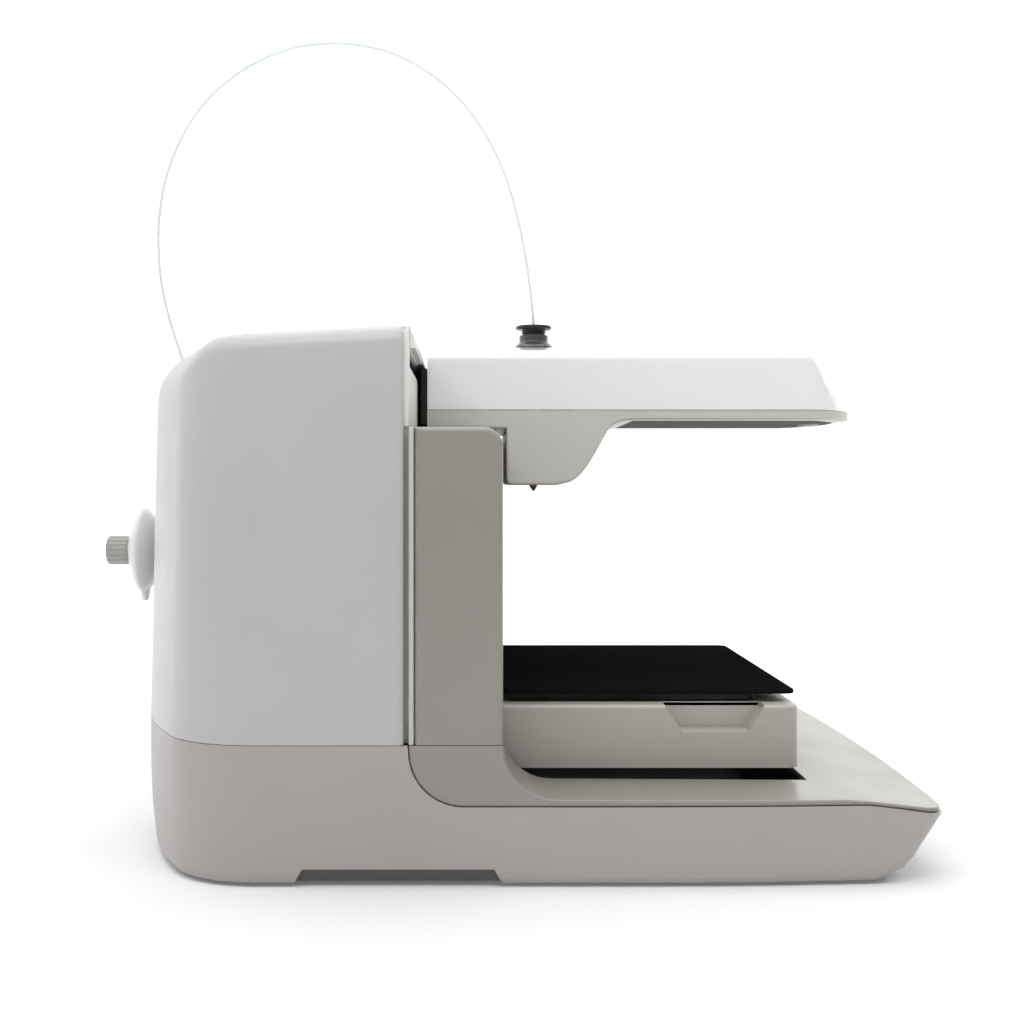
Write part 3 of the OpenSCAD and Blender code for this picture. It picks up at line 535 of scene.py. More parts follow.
def make_materials():
    """Every look by name."""
    along_x, along_y, along_z = (0.05, 1, 1), (1, 0.05, 1), (1, 1, 0.05)
    return {
        "shell": moulded("shell_white", (0.54, 0.531, 0.526), 0.38),
        # The base is the shell's white plastic, darkened as painted shade for the lower body.
        "base": moulded("base_grey", (0.43, 0.413, 0.404), 0.42),
        # The panel is light plastic, made lighter still as painted light on its front face.
        "panel": moulded("panel_light", (0.85, 0.85, 0.83), 0.45),
        "liner": moulded("liner_grey", (0.31, 0.299, 0.268), 0.34, Coat_Weight=0.15),
        # The platform is the liner's grey, lightened as painted light from the tray's bounce.
        "platform": moulded("platform_lit_liner_grey", (0.48, 0.465, 0.42), 0.36, Coat_Weight=0.1),
        "arm": glossy("arm_gloss", (0.93, 0.925, 0.92)),
        "arm_low": moulded("arm_lower_grey", (0.58, 0.575, 0.54), 0.4),
        # This black, used only for the recess tub, is black plastic and partly painted shade of the deep well.
        "black": moulded("black_plastic", (0.01, 0.01, 0.01), 0.5, Specular_IOR_Level=0.2),
        "dark": moulded("dark_grey_plastic", (0.14, 0.135, 0.13), 0.6, grain=0.05),
        "under": moulded("underside_grey", (0.06, 0.06, 0.057), 0.7, Specular_IOR_Level=0.1),
        "knob": moulded("knob_grey", (0.4, 0.4, 0.385), 0.45),
        "hub": moulded("hub_white", (0.82, 0.82, 0.81), 0.35, Coat_Weight=0.2),
        "inlet": moulded("inlet_grey", (0.07, 0.07, 0.068), 0.2, Coat_Weight=0.5),
        "button": moulded("button_black", (0.012, 0.013, 0.013), 0.35),
        "rocker": moulded("rocker_red", (0.3, 0.02, 0.015), 0.25),
        "socket": moulded("socket_black", (0.015, 0.015, 0.015), 0.4),
        "nylon": moulded("bush_nylon", (0.05, 0.05, 0.05), 0.5),
        "spool": moulded("spool_black", (0.02, 0.02, 0.022), 0.4),
        "lever": moulded("lever_blue", (0.04, 0.09, 0.22), 0.45),
        "fan": moulded("fan_black", (0.014, 0.014, 0.014), 0.5),
        "chassis": powder("sheet_steel", (0.34, 0.35, 0.37)),
        "frame": powder("frame_black", (0.022, 0.022, 0.024)),
        "carrier": powder("carrier_black", (0.016, 0.016, 0.018)),
        "bracket": powder("bracket_black", (0.012, 0.012, 0.012)),
        "motor": powder("motor_black", (0.025, 0.025, 0.028), 0.4),
        "plate": plate_finish("plate_black"),
        "rubber": rubber("rubber_black"),
        "belt_x": rubber("belt_rubber_arm", ribs=("Y", 160)),
        "belt_bed": rubber("belt_rubber_bed", ribs=("X", 160)),
        "rod_x": metal("rod_steel_x", (0.75, 0.75, 0.77), 0.14, (1, 0.05, 0.05), scale=1500),
        "rod_y": metal("rod_steel_y", (0.75, 0.75, 0.77), 0.14, (0.05, 1, 0.05), scale=1500),
        "rod_z": metal("rod_steel_z", (0.75, 0.75, 0.77), 0.14, (0.05, 0.05, 1), scale=1500),
        "thread": metal("screw_thread_steel", (0.6, 0.6, 0.62), 0.25, along_z, 0.12),
        "screw": metal("screw_steel", (0.45, 0.45, 0.47), 0.35, tarnish=0.1),
        "bearing": metal("bearing_steel", (0.66, 0.66, 0.68), 0.25, along_z),
        "spring": metal("spring_steel", (0.66, 0.66, 0.68), 0.25, along_x, 0.1),
        "pulley": metal("pulley_aluminium", (0.72, 0.72, 0.74), 0.3, along_z),
        "sink": metal("sink_aluminium", (0.78, 0.78, 0.8), 0.35, (0.3, 0.3, 1)),
        "heater": heat_stained("heater_aluminium"),
        "brass": metal("nozzle_brass", (0.78, 0.56, 0.24), 0.28, along_z, 0.15),
        "nut": metal("nut_brass", (0.7, 0.5, 0.2), 0.33, along_y, 0.15),
        "gear": metal("gear_brass", (0.72, 0.56, 0.26), 0.3, along_y, 0.12),
        "zinc": zinc("supply_zinc"),
        "circuit": circuit("board_green"),
        "mint": mint("filament_mint"),
        "wound": wound("winding_mint"),
        "lamp": frosted("lamp_diffuser"),
    }


# ---------- the free filament ----------

FILAMENT_ROUTE = [
    (-175.5, 0, 254.5), (-177.3, 0, 259.3), (-179.3, 0, 265), (-182.5, 0, 274.5), (-186, 0, 286),
    (-189, 0, 298), (-191.5, 0, 313), (-192.5, 0, 329), (-192, 0, 346), (-188.5, 0, 367),
    (-181, 0, 388), (-170, 0, 407), (-155, 0, 423), (-136, 0, 436), (-115, 0, 444.5),
    (-93, 0, 447.5), (-71, 0, 446), (-50, 0, 439.5), (-30, 0, 427.5), (-13, 0, 411.5),
    (1, 0, 391), (11.5, 0, 368), (18.5, 0, 343), (23, 0, 320), (25.5, 0, 302),
    (26.7, 0, 290), (27.2, 0, 284), (27.3, 0, 278)]
FILAMENT_RADIUS = 0.875


def make_filament(looks):
    """The strand from the guide to the inlet, as one fixed tube."""
    route = spline(FILAMENT_ROUTE, 6)
    obj = raw("free_filament", tube(route, FILAMENT_RADIUS, 16))
    shade_smooth(obj, looks["mint"])
    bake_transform(obj)
    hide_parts("filament")


# ---------- body shells ----------

REAR_X, FRONT_X, HALF_W = -189.0, 222.0, 165.0
SEAM_Z = 66.4
COLUMN_FRONT = -38.4
REAR_R, CORNER_R, CORNER_X = 300.0, 50.0, -111.0
NOSE_CORNER = (202.3, 145.0)
NOSE_CORNER_R, NOSE_R = 15.0, 2250.0
RIM_Z, RIM_R = 37.4, 26.0
GUIDE_SEAT = Vector((-175.2, 0, 253.7))
HUB_Z, HUB_X = 150.7, -208.5


def side_y(x):
    """Half width of the body along its straight flanks."""
    return HALF_W - 3.6 * (max(0.0, x - 70) / 109) ** 2


def drawn_in(x, y, outwards, inset):
    """A point of a plan outline moved in by inset, with its direction out."""
    n = Vector(outwards).normalized()
    return (x - n.x * inset, y - n.y * inset, n.x, n.y)


def rear_half(inset=0.0):
    """Plan outline with y above 0, from the rear's middle to the start of the flank: (x, y, nx, ny)."""
    corner_y = HALF_W - CORNER_R
    meet = math.degrees(math.atan2(corner_y, CORNER_X - REAR_X - REAR_R))
    points = []
    for centre, radius, start, end, steps in (
            ((REAR_X + REAR_R, 0), REAR_R, 180, meet, 12), ((CORNER_X, corner_y), CORNER_R, meet, 90, 16)):
        for x, y in arc(centre, radius, start, end, steps)[bool(points):]:
            points.append(drawn_in(x, y, (x - centre[0], y - centre[1]), inset))
    return points


def flank(xs, inset=0.0):
    """Plan outline with y above 0 at each x along the flank."""
    return [drawn_in(x, side_y(x), (side_y(x - 0.5) - side_y(x + 0.5), 1), inset) for x in xs]


def nose_half(inset=0.0):
    """Plan outline with y above 0, round the front corner to the front's middle."""
    cx, cy = NOSE_CORNER
    corner = [drawn_in(x, y, (x - cx, y - cy), inset) for x, y in arc(NOSE_CORNER, NOSE_CORNER_R, 86, 4, 10)]
    return corner + [drawn_in(FRONT_X - y * y / (2 * NOSE_R), y, (1, y / NOSE_R), inset)
                     for y in (128, 100, 66, 33, 0)]


def mirrored(half):
    """The whole outline from its half with y above 0, as a closed loop."""
    return half + [(x, -y, nx, -ny) for x, y, nx, ny in half[-2:0:-1]]


def cap(half, spans=10):
    """Strips across the top, between each point of the half outline and its mirror image."""
    return grid([[(x, y * (1 - 2 * k / spans), z) for k in range(spans + 1)] for x, y, z in half])


def column_plane(x):
    """Height of the column's sloping top."""
    return 264.8 - 0.0551 * (COLUMN_FRONT - x)


def column_ring(half, height, bend):
    """One level of the column: height is its share of the straight wall, bend the angle over the top edge."""
    ring = []
    for x, y, nx, ny in half:
        towards_rear = ease(-nx)
        radius = mix(9.0, 22.0, ease((-nx - 0.4) / 0.6))
        inset = radius * (1 - math.cos(bend))
        top = column_plane(x - nx * inset)
        z = mix(SEAM_Z + 0.15, top - radius, height) if bend == 0 else top - radius + radius * math.sin(bend)
        inset += 3.8 * towards_rear * (z - SEAM_Z) / 185 + 1.6 * max(0.0, (z - 212) / 50) ** 2
        ring.append((x - nx * inset, y - ny * inset, z))
    return ring


def make_column(looks):
    front_turn = [(x, HALF_W - deep, 0, 1) for x, deep in (
        (-43.6, 0), (-42.2, 0.3), (-41.1, 1.1), (-40.6, 2.2), (-40.4, 4), (-40.3, 6), (-38.6, 6.2))]
    half = rear_half() + flank((-100, -86, -72, -58)) + front_turn
    levels = [(h, 0.0) for h in (0, 0.02, 0.15, 0.32, 0.5, 0.68, 0.85, 0.97, 1)]
    levels += [(1, math.radians(a)) for a in (11, 22, 34, 45, 56, 68, 79, 90)]
    rows = []
    for height, bend in levels:
        ring = column_ring(half, height, bend)
        rows.append([(x, -y, z) for x, y, z in ring[:0:-1]] + ring)
    top = column_ring(half, 1, math.pi / 2)
    lip = [(COLUMN_FRONT, y, column_plane(COLUMN_FRONT)) for x, y, z in top[-1:]]
    obj = raw("column_cover", merged(grid(rows), cap(top + lip)))
    thicken(obj, WALL)
    hub = turned([(10.5, -200), (10.5, -178)], (0, 0, HUB_Z), "x", 48)
    lean = Matrix.Rotation(math.radians(-20), 3, "Y")
    verts, faces = turned([(7.3, -12), (7.3, 14)], (0, 0, 0), "z", 40)
    cut(obj, hub, ([tuple(GUIDE_SEAT + lean @ Vector(v)) for v in verts], faces))
    settle(obj, looks["shell"], "frame", ["column_shell"], 0.45)


def rim_height(x):
    """Height of the base's upper edge."""
    if x <= COLUMN_FRONT:
        return SEAM_Z - 0.15
    if x < COLUMN_FRONT + RIM_R:
        reach = COLUMN_FRONT + RIM_R - x
        return RIM_Z + RIM_R - math.sqrt(max(0.0, RIM_R ** 2 - reach ** 2))
    if x < 178:
        return RIM_Z
    return mix(RIM_Z, RIM_Z - 5.6, ease((x - 178) / 44) * 0.35 + 0.65 * (x - 178) / 44)


def base_point(x, y, nx, ny, z):
    """A point of the base's side at height z: the rear rounds in, and the nose is raked back under its rim."""
    low = ease(1 - (z - 2) / 2.8)
    drop = max(0.0, SEAM_Z - z) / 64.4
    drawn = 11.5 * drop ** 1.7 + 4 * low
    rear = REAR_X + drawn
    forward = (x + rear + math.sqrt((x - rear) ** 2 + (0.7 * drawn) ** 2)) / 2 - x
    rake = 17.5 * max(0.0, 31.8 - z) / 26.3 + 6 * ease(1 - (z - 2) / 7)
    back = rake * ease((x - 100) / 94)
    spread = math.copysign(min(abs(y), 0.03 * back), y)
    return (x - nx * 1.3 * low + forward - back, y - ny * 1.3 * low + spread, z)


def make_base(looks):
    sweep_x = [COLUMN_FRONT + RIM_R * (1 - math.cos(math.radians(a))) for a in range(0, 91, 9)]
    xs = [-100, -80, -60, COLUMN_FRONT - 0.2] + [x + 0.05 for x in sweep_x]
    xs += [20, 50, 80, 110, 140, 165, 178, 186, 194]
    half = rear_half() + flank(xs) + nose_half()
    loop = mirrored(half)
    shares = (0, 0.015, 0.04, 0.08, 0.16, 0.3, 0.45, 0.6, 0.75, 0.88, 0.97, 1)
    rows = [[base_point(x, y, nx, ny, mix(2.0, rim_height(x), share)) for x, y, nx, ny in loop]
            for share in shares]
    obj = raw("base_cover", grid(rows, True))
    thicken(obj, WALL)
    notch = across_shape([(-94, -2), (-88, 8.5), (2, 8.5), (8, -2)], -200, 200)
    cut(obj, notch, box_shape((-200, 20, 16), (-170, 80, 60)))
    settle(obj, looks["base"], "frame", ["base_shell"], 0.5)


def make_floor_pan(looks):
    """The bottom cover: a plate in the base's foot, with lips behind the notches, vents and screw holes."""
    loop = mirrored(rear_half(2.9) + flank((-100, -60, 0, 60, 120, 165), 2.9) + nose_half(2.9))
    rows = [[(*base_point(x, y, nx, ny, 2.0)[:2], z) for x, y, nx, ny in loop] for z in (2.05, 4.5)]
    lips = [box_shape((-95, s * 159.5 - 1.5, 4.0), (9, s * 159.5 + 1.5, 10)) for s in (-1, 1)]
    obj = raw("floor_pan", merged(grid(rows, True, ("first", "last")), *lips))
    vents = [box_shape((x, s * 139 - 11, 1), (x + 4, s * 139 + 11, 6))
             for x in range(40, 112, 8) for s in (-1, 1)]
    holes = [turned([(3.05, 1), (3.05, 3.4), (1.55, 3.4), (1.55, 6)], (x, s * y, 0), "z", 24)
             for x, y in ((-150, 60), (-20, 125), (180, 60)) for s in (-1, 1)]
    cut(obj, merged(*vents), merged(*holes))
    settle(obj, looks["dark"], "frame", ["bottom_cover"], 0.3)


def make_front_panel(looks):
    low, high, front = 216.1, 261.7, COLUMN_FRONT
    back = box_shape((front - 2.5, -160, low), (front, 160, high))
    hood = [(front - 0.1, 254.2), (front + 3, 254.2), (front + 2.6, 256.5), (front, high)]
    panel = raw("slot_panel", back)
    bezel = raw("slot_hood", across_shape(hood, -152, 152))
    slot = box_shape((front - 8, -148, 245.6), (front + 8, 148, 253.6))
    cut(panel, slot)
    settle(panel, looks["panel"], "frame", ["front_panel"], 0.4)
    settle(bezel, looks["panel"], "frame", (), 0.5)


# ---------- liner ----------

CHEEK_FRONT, CHEEK_TOP, CHEEK_R = 6.2, 215.9, 9
DOOR_HALF, DOOR_TOP = 116.0, 192.0
LINER_IN = 0.8


def liner_edge(x):
    """Half width of the liner at x, round its front corners too."""
    corner_x, corner_y = NOSE_CORNER
    if x <= corner_x + 1:
        return side_y(min(x, 190)) - LINER_IN - max(0.0, x - 190) * 0.09
    reach = x + LINER_IN - corner_x
    if reach < NOSE_CORNER_R - 0.05:
        return corner_y + math.sqrt(NOSE_CORNER_R ** 2 - reach ** 2) - LINER_IN
    return math.sqrt(max(0.0, 2 * NOSE_R * (FRONT_X - x - LINER_IN)))


def make_cheeks(looks):
    """Both cheeks and the shelf between them, with a light strip in each groove."""
    back = COLUMN_FRONT + 2.8
    low = SEAM_Z + 0.15
    upper = [(back, CHEEK_TOP, -1, 1), (-30, CHEEK_TOP, 0, 1), (-10, CHEEK_TOP, 0, 1)]
    cx, cz = CHEEK_FRONT - CHEEK_R, CHEEK_TOP - CHEEK_R
    upper += [(x, z, (x - cx) / CHEEK_R, (z - cz) / CHEEK_R) for x, z in arc((cx, cz), CHEEK_R, 90, 0, 8)]
    upper += [(CHEEK_FRONT, z, 1, 0) for z in (170, 120, low)]
    last = len(upper) - 1
    lower = [(back, mix(CHEEK_TOP - 8, low, i / last), -1, 0) for i in range(last + 1)]
    obj = raw("cheeks_and_shelf", ribbon(upper, lower, lambda x: HALF_W - LINER_IN, 2.6, 6))
    door = box_shape((-60, -DOOR_HALF, 20), (60, DOOR_HALF, DOOR_TOP))
    inner = CHEEK_FRONT - 4
    hollows = [box_shape((-60, s * (DOOR_HALF + WALL), 20), (inner, s * 161, 205)) for s in (-1, 1)]
    hollows.append(box_shape((-60, -161, DOOR_TOP + WALL), (inner, 161, CHEEK_TOP - 4)))
    cut(obj, door, *hollows)
    settle(obj, looks["liner"], "frame", ["liner"], 0.5)
    for name, s in (("near_edge_strip", -1), ("far_edge_strip", 1)):
        low_corner = (COLUMN_FRONT + 0.15, s * 162.3 - 1.9, low)
        strip = raw(name, box_shape(low_corner, (back - 0.15, s * 162.3 + 1.9, 216)))
        settle(strip, looks["arm_low"], "frame", (), 0.7)


def tray_top(x):
    """Height of the tray's surface in front of the sweep."""
    if x < 170:
        return mix(41.0, 40.2, (x - 31.2) / 138.8)
    return 40.2 - 5.7 * (0.45 * ease((x - 170) / 51.3) + 0.55 * (x - 170) / 51.3)


def make_tray(looks):
    """The tray, with the sweep that runs up into the cheeks."""
    back, low = COLUMN_FRONT + 0.2, SEAM_Z - 0.15
    front_xs = (70, 110, 140, 160, 170, 180, 190, 198, 203.3, 206, 208.5, 211, 213, 214.6, 215.6, 216.3,
                217.0, 218, 219, 220, 220.7, 221.1)
    upper = [(back, low, -1, 0), (-30, low, 0, 0), (-22, low, 0, 0), (-14, low, 0, 0), (CHEEK_FRONT, low, 1, 0)]
    for x, z in arc((CHEEK_FRONT + 25, SEAM_Z - 0.4), 25, 180, 270, 10)[1:]:
        n = Vector((CHEEK_FRONT + 25 - x, SEAM_Z - 0.4 - z)) / 25
        upper.append((x, z, n.x, n.y))
    upper += [(x, tray_top(x), 0, 1) for x in front_xs]
    lower = []
    for x, z in arc((COLUMN_FRONT + RIM_R, RIM_Z + RIM_R), RIM_R - 0.2, 180, 270, 8):
        n = Vector((x - COLUMN_FRONT - RIM_R, z - RIM_Z - RIM_R)) / RIM_R
        lower.append((x, z, n.x, n.y))
    lower += [(x, RIM_Z + 0.2, 0, -1) for x in (-4, 4, 12, 18, 24, 28)]
    lower += [(x, rim_height(x) + 0.2, 0, -1) for x in front_xs]
    obj = raw("tray", ribbon(upper, lower, liner_edge, 1.1, 4, 12))
    cut(obj, box_shape((-60, -DOOR_HALF, 10), (160, DOOR_HALF, 90)))
    settle(obj, looks["liner"], "frame", (), 0.5)


# ---------- platform ----------

def rounded_rectangle(low, high, half, radius, steps=6):
    """Half outline with y above 0 of a plate with square rear and round front corners: (x, y, nx, ny)."""
    points = [(low, 0, -1, 0), (low, half, -1, 1)]
    points += [(mix(low, high - radius, t), half, 0, 1) for t in (0.2, 0.4, 0.6, 0.8)]
    for x, y in arc((high - radius, half - radius), radius, 90, 0, steps):
        points.append((x, y, (x - high + radius) / radius, (y - half + radius) / radius))
    return points + [(high, 0, 1, 0)]


POCKET = [(84, 82), (89, 77.3), (98, 63.7), (132, 63.7), (139.7, 77.3), (142.5, 82)]
POCKET_WALL = [(85.5, 77.1), (96.8, 62.2), (133.2, 62.2), (141.5, 77.1)]


def make_platform_cover(looks):
    """The platform's cover, open at the rear and over the rods, with two finger pockets."""
    low, high, edge = 45.5, 77.3, 2.2
    half = rounded_rectangle(-36, 157.5, 112, 7)
    rows = []
    for z, inset in [(low, 0), (low + 10, 0), (high - 8, 0)] + [
            (high - edge + edge * math.sin(a), edge * (1 - math.cos(a)))
            for a in (math.radians(d) for d in (0, 18, 36, 54, 72, 90))]:
        ring = [(x - nx * inset, y - ny * inset, z) for x, y, nx, ny in half]
        rows.append(ring + [(x, -y, z) for x, y, z in ring[-2:0:-1]])
    obj = raw("platform_top", grid(rows, True, ("last",)))
    thicken(obj, 2)
    cut(obj, *[across_shape(POCKET, s * 100, s * 118) for s in (-1, 1)])
    slots = ((49, 71, 114), (-71, -49, 114), (2, 11, 93))
    cut(obj, *[box_shape((-41, y0, 70), (x1, y1, 82)) for y0, y1, x1 in slots])
    cut(obj, box_shape((-41, -104, 40), (-29, 104, 75.2)))
    settle(obj, looks["platform"], "platform", ["platform_cover"], 0.55)
    for name, s in (("near_pocket_cup", -1), ("far_pocket_cup", 1)):
        cup = raw(name, across_shape(POCKET_WALL, s * 98.5, s * 109.8))
        cut(cup, across_shape(POCKET, s * 100, s * 118))
        settle(cup, looks["platform"], "platform", (), 0.3)


# ---------- arm ----------

ARM_REAR, ARM_TIP, ARM_HALF = -33.0, 209.0, 60.0
ARM_SPLIT, ARM_EDGE, ARM_EDGE_R, ARM_CROWN = 229.4, 262.4, 6.2, 5.6
ARM_CORNER, ARM_CORNER_R, TIP_R = (172.8, 38.0), 22.0, 80.0
TIP_MEETS = 40.9
NOZZLE_X = 27.3


def arm_edge(x):
    """Half width of the arm at x, round its tip too."""
    if x <= ARM_CORNER[0]:
        return ARM_HALF
    if x < ARM_CORNER[0] + ARM_CORNER_R * math.cos(math.radians(TIP_MEETS)):
        return ARM_CORNER[1] + math.sqrt(max(0.0, ARM_CORNER_R ** 2 - (x - ARM_CORNER[0]) ** 2))
    return math.sqrt(max(0.0, TIP_R ** 2 - (x - ARM_TIP + TIP_R) ** 2))


def arm_half():
    """Half outline of the arm with y above 0, from its rear to the tip's middle: (x, y, nx, ny)."""
    points = [(x, ARM_HALF, 0, 1) for x in (ARM_REAR, -10, 10, 24, 40, 60, 80, 100, 120, 135, 150, 162)]
    for centre, radius, start, end, steps in ((ARM_CORNER, ARM_CORNER_R, 90, TIP_MEETS + 4, 10),
                                              ((ARM_TIP - TIP_R, 0), TIP_R, TIP_MEETS, 0, 12)):
        for x, y in arc(centre, radius, start, end, steps):
            points.append(drawn_in(x, y, (x - centre[0], y - centre[1]), 0))
    return points


def arm_profiles():
    """(inset, height) up the arm's side and up its nose, point for point, to where the crown starts."""
    low = ARM_SPLIT + 0.15
    side = [(0, low), (0, 233.5), (0, 238.5), (0, 243.5), (0, 249), (0, 253)]
    side += [(ARM_EDGE_R - u, v) for u, v in arc((0, ARM_EDGE - ARM_EDGE_R), ARM_EDGE_R, 0, 84, 8)]
    nose = spline([(0, low), (1.2, 234.5), (2.9, 240.2), (5.8, 245.3), (10.3, 253.3),
                   (16.1, 261.3), (22, 266)], 3)
    picks = [nose[round(i * (len(nose) - 1) / (len(side) - 1))] for i in range(len(side))]
    return side, [tuple(p) for p in picks]


def arm_column(point, side, nose):
    """The points over the arm from its rim to the middle line."""
    x, y, nx, ny = point
    towards_tip = ease(nx)
    middle = Vector((min(x, 140), 0))
    reach = Vector((x, y)) - middle
    made = []
    for (side_in, side_z), (nose_in, nose_z) in zip(side, nose):
        inset = mix(side_in, nose_in, towards_tip)
        share = 1 - inset / reach.length
        made.append((middle.x + reach.x * share, reach.y * share, mix(side_z, nose_z, towards_tip)))
    rim = made[-1]
    for k in range(1, 9):
        share = 1 - k / 8
        crown = mix(rim[2], ARM_EDGE + ARM_CROWN, 1 - share ** 2)
        made.append((middle.x + (rim[0] - middle.x) * share, rim[1] * share, crown))
    return made


def make_arm_top(looks):
    side, nose = arm_profiles()
    near = [arm_column(p, side, nose) for p in arm_half()]
    far = [[(x, -y, z) for x, y, z in row] for row in near]
    obj = raw("arm_top", merged(grid(near), grid(far)))
    thicken(obj, 2)
    cut(obj, turned([(8, 250), (8, 285)], (NOZZLE_X, 0, 0), "z", 48))
    settle(obj, looks["arm"], "arm", ["arm_top_shell"], 0.4)


def chain_normals(points):
    """Adds each point's direction out of the chain, on its right-hand side."""
    made = []
    for i, p in enumerate(points):
        a, b = points[max(i - 1, 0)], points[min(i + 1, len(points) - 1)]
        n = Vector((b[1] - a[1], -(b[0] - a[0]))).normalized()
        made.append((p[0], p[1], n.x, n.y))
    return made


def arm_under():
    """Underside of the arm and head, seen from the side."""
    rear = [(ARM_REAR, 219.5), (-20, 219.5), (0, 219.5), (10, 219.5), (10, 212), (10, 202), (10, 194)]
    heel = arc((13, 191.7), 3, 180, 270, 5)
    bowl = [(20, 188.7), (30, 188.7)] + [tuple(p) for p in spline(
        [(38, 188.7), (46, 191), (52.7, 197), (59, 207), (66, 219), (72, 223), (80, 224.1)], 4)]
    tip = [(100, 224.1), (140, 224.1), (162, 224.1), (173, 224.1), (180, 224.1), (186, 224.1), (190, 224.1),
           (194, 224.2), (198, 224.3), (201, 224.5), (203.5, 224.8), (205.3, 225.3), (206.8, 226), (207.8, 227),
           (208.5, 228.1), (208.85, 229.1)]
    return chain_normals(rear + heel + bowl + tip)


def over_head(lower, z):
    """Points at height z over the underside's, spread past the head's upright back."""
    made, run, corner, end = [], 0.0, 3, 80.0
    whole = sum(math.dist(a[:2], b[:2]) for a, b in zip(lower[corner:], lower[corner + 1:]) if b[0] <= end + 1)
    for i, (x, low, mx, mz) in enumerate(lower):
        if i > corner and x < end:
            run += math.dist(lower[i - 1][:2], (x, low))
            x = lower[corner][0] + (end - lower[corner][0]) * run / whole
        made.append((x, z, 0, 0))
    return made


def make_arm_lower(looks):
    """The arm's lower shell and the head: hollow, open under the long part and round the nozzle."""
    seam = ARM_SPLIT - 0.1
    lower = []
    for x, z, mx, mz in arm_under():
        room = min(1, (seam - z) / 3.2)
        lower.append((x, z, mx * room, mz * room))
    upper = over_head(lower, seam)
    obj = raw("arm_bottom", ribbon(upper, lower, lambda x: arm_edge(min(x, ARM_TIP - 0.05)), 1.6, 5))
    thin = [(x - mx * 2, z - mz * 2, mx, mz) for x, z, mx, mz in arm_under() if x < 200]
    thin[0] = (ARM_REAR - 9, *thin[0][1:])
    hollow = ribbon(over_head(thin, 240), thin, lambda x: arm_edge(x + 2) - 2, 0.4, 2)
    window = [(80, 50)] + [(x - 9 * nx, min(50, y - 9 * ny)) for x, y, nx, ny in arm_half() if x > 90]
    window += [(x, -y) for x, y in window[-2::-1]]
    window = grid([[(x, y, z) for x, y in window] for z in (220, 235)], True, ("first", "last"))
    cut(obj, hollow, window, box_shape((13, -48, 180), (38, 48, 195)))
    settle(obj, looks["arm_low"], "arm", ["arm_lower_shell"], 0.4)


# ---------- turned and small parts ----------

def make_hub(looks):
    """The spool's flange with its pointer, and the fluted knob."""
    lens = spline([(9, HUB_X + 0.1), (17, HUB_X + 2.6), (22.5, HUB_X + 5.4), (24.9, HUB_X + 8.6),
                   (20, HUB_X + 13), (12, HUB_X + 17.4)], 6)
    profile = [(0.05, HUB_X), (6, HUB_X)] + [tuple(p) for p in lens]
    profile += [(6, HUB_X + 17.5), (6, -133.5), (0.05, -133.5)]
    flange = raw("hub_lens", turned(profile, (0, 0, HUB_Z), "x", 96))
    settle(flange, looks["hub"], "spool_hub", ["hub_flange"], 0.25)
    rows = []
    turns = [2 * math.pi * k / 24 for k in range(24)]
    for down, width, thick in ((19, 8, 3.2), (22.5, 6.4, 2.9), (25.5, 4.4, 2.5), (28, 3, 2.1),
                               (29.6, 1.6, 1.3)):
        rows.append([(HUB_X + 8.4 + thick * math.cos(a), width * math.sin(a), HUB_Z - down) for a in turns])
    tab = raw("hub_pointer", grid(rows, True, ("first", "last")))
    settle(tab, looks["hub"], "spool_hub", (), 0.3)
    knob_end = -221.9
    profile = [(0.05, knob_end), (5.5, knob_end), (7.4, knob_end + 0.2), (8.2, knob_end + 0.9),
               (8.5, knob_end + 2.2), (8.5, HUB_X - 2.4), (8.3, HUB_X - 1.1), (7.6, HUB_X - 0.2),
               (0.05, HUB_X - 0.05)]
    knob = raw("hub_grip", turned(profile, (0, 0, HUB_Z), "x", 144, 18, 0.55))
    settle(knob, looks["knob"], "spool_hub", ["hub_knob"], 0.15)


def make_inlet(looks):
    """The flared collar on the arm and the release button in it."""
    low = ARM_EDGE + ARM_CROWN + 0.05
    skirt = [(7.3, low + 2.4), (7.3, low + 8.0), (7.5, low + 8.2), (8.2, low + 8.2), (8.5, low + 7.8),
             (8.5, low + 4.6), (8.8, low + 4.0), (10.2, low + 2.6), (11.4, low + 1.5), (11.75, low + 0.9),
             (11.7, low + 0.1), (11.4, low), (7.9, low), (7.9, 263), (5.2, 263), (5.2, low + 2.4)]
    rows = turned(skirt + skirt[:1], (NOZZLE_X, 0, 0), "z", 96)
    collar = raw("inlet_collar", (rows[0], rows[1][:-2]))
    settle(collar, looks["inlet"], "arm", ["inlet_base"], 0.2)
    top = 281.9
    cap_profile = [(1.3, 265.15), (5, 265.15), (5, 274), (6.8, 274.1), (7, 274.5), (7, 276.2), (6.6, 276.5),
                   (6.6, 277.2), (7, 277.5), (7, 279.2), (7.3, 279.5), (9.6, 279.5), (10.3, 279.8),
                   (10.5, 280.5), (10.4, 281.3), (9.8, 281.8), (8.6, top), (3.2, top), (1.9, 281.3),
                   (1.3, 280.2)]
    rows = turned(cap_profile + cap_profile[:1], (NOZZLE_X, 0, 0), "z", 96)
    button = raw("inlet_cap", (rows[0], rows[1][:-2]))
    settle(button, looks["button"], "release_button", ["inlet_button"], 0.12)


def make_lead_screw(looks, name, node, body, side):
    """An 8 mm screw with four starts, which rises 8 mm in a turn."""
    rows = []
    low, high, lead, starts = 21.0, 205.8, 8.0, 4
    steps, around = 440, 32
    for i in range(steps + 1):
        z = mix(low, high, i / steps)
        row = []
        for k in range(around):
            a = 2 * math.pi * k / around
            phase = (starts * (z / lead - k / around)) % 1
            tooth = min(1.0, max(0.0, 2.2 * abs(2 * phase - 1) - 0.6))
            ends = min(1.0, (z - low) / 16, (high - z) / 2)
            r = 4.0 - 0.75 * tooth * max(0.0, ends)
            row.append((-62 + r * math.cos(a), side * 136 + r * math.sin(a), z))
        rows.append(row)
    obj = raw(name, grid(rows, True, ("first", "last")))
    settle(obj, looks["thread"], body, [node], 0)


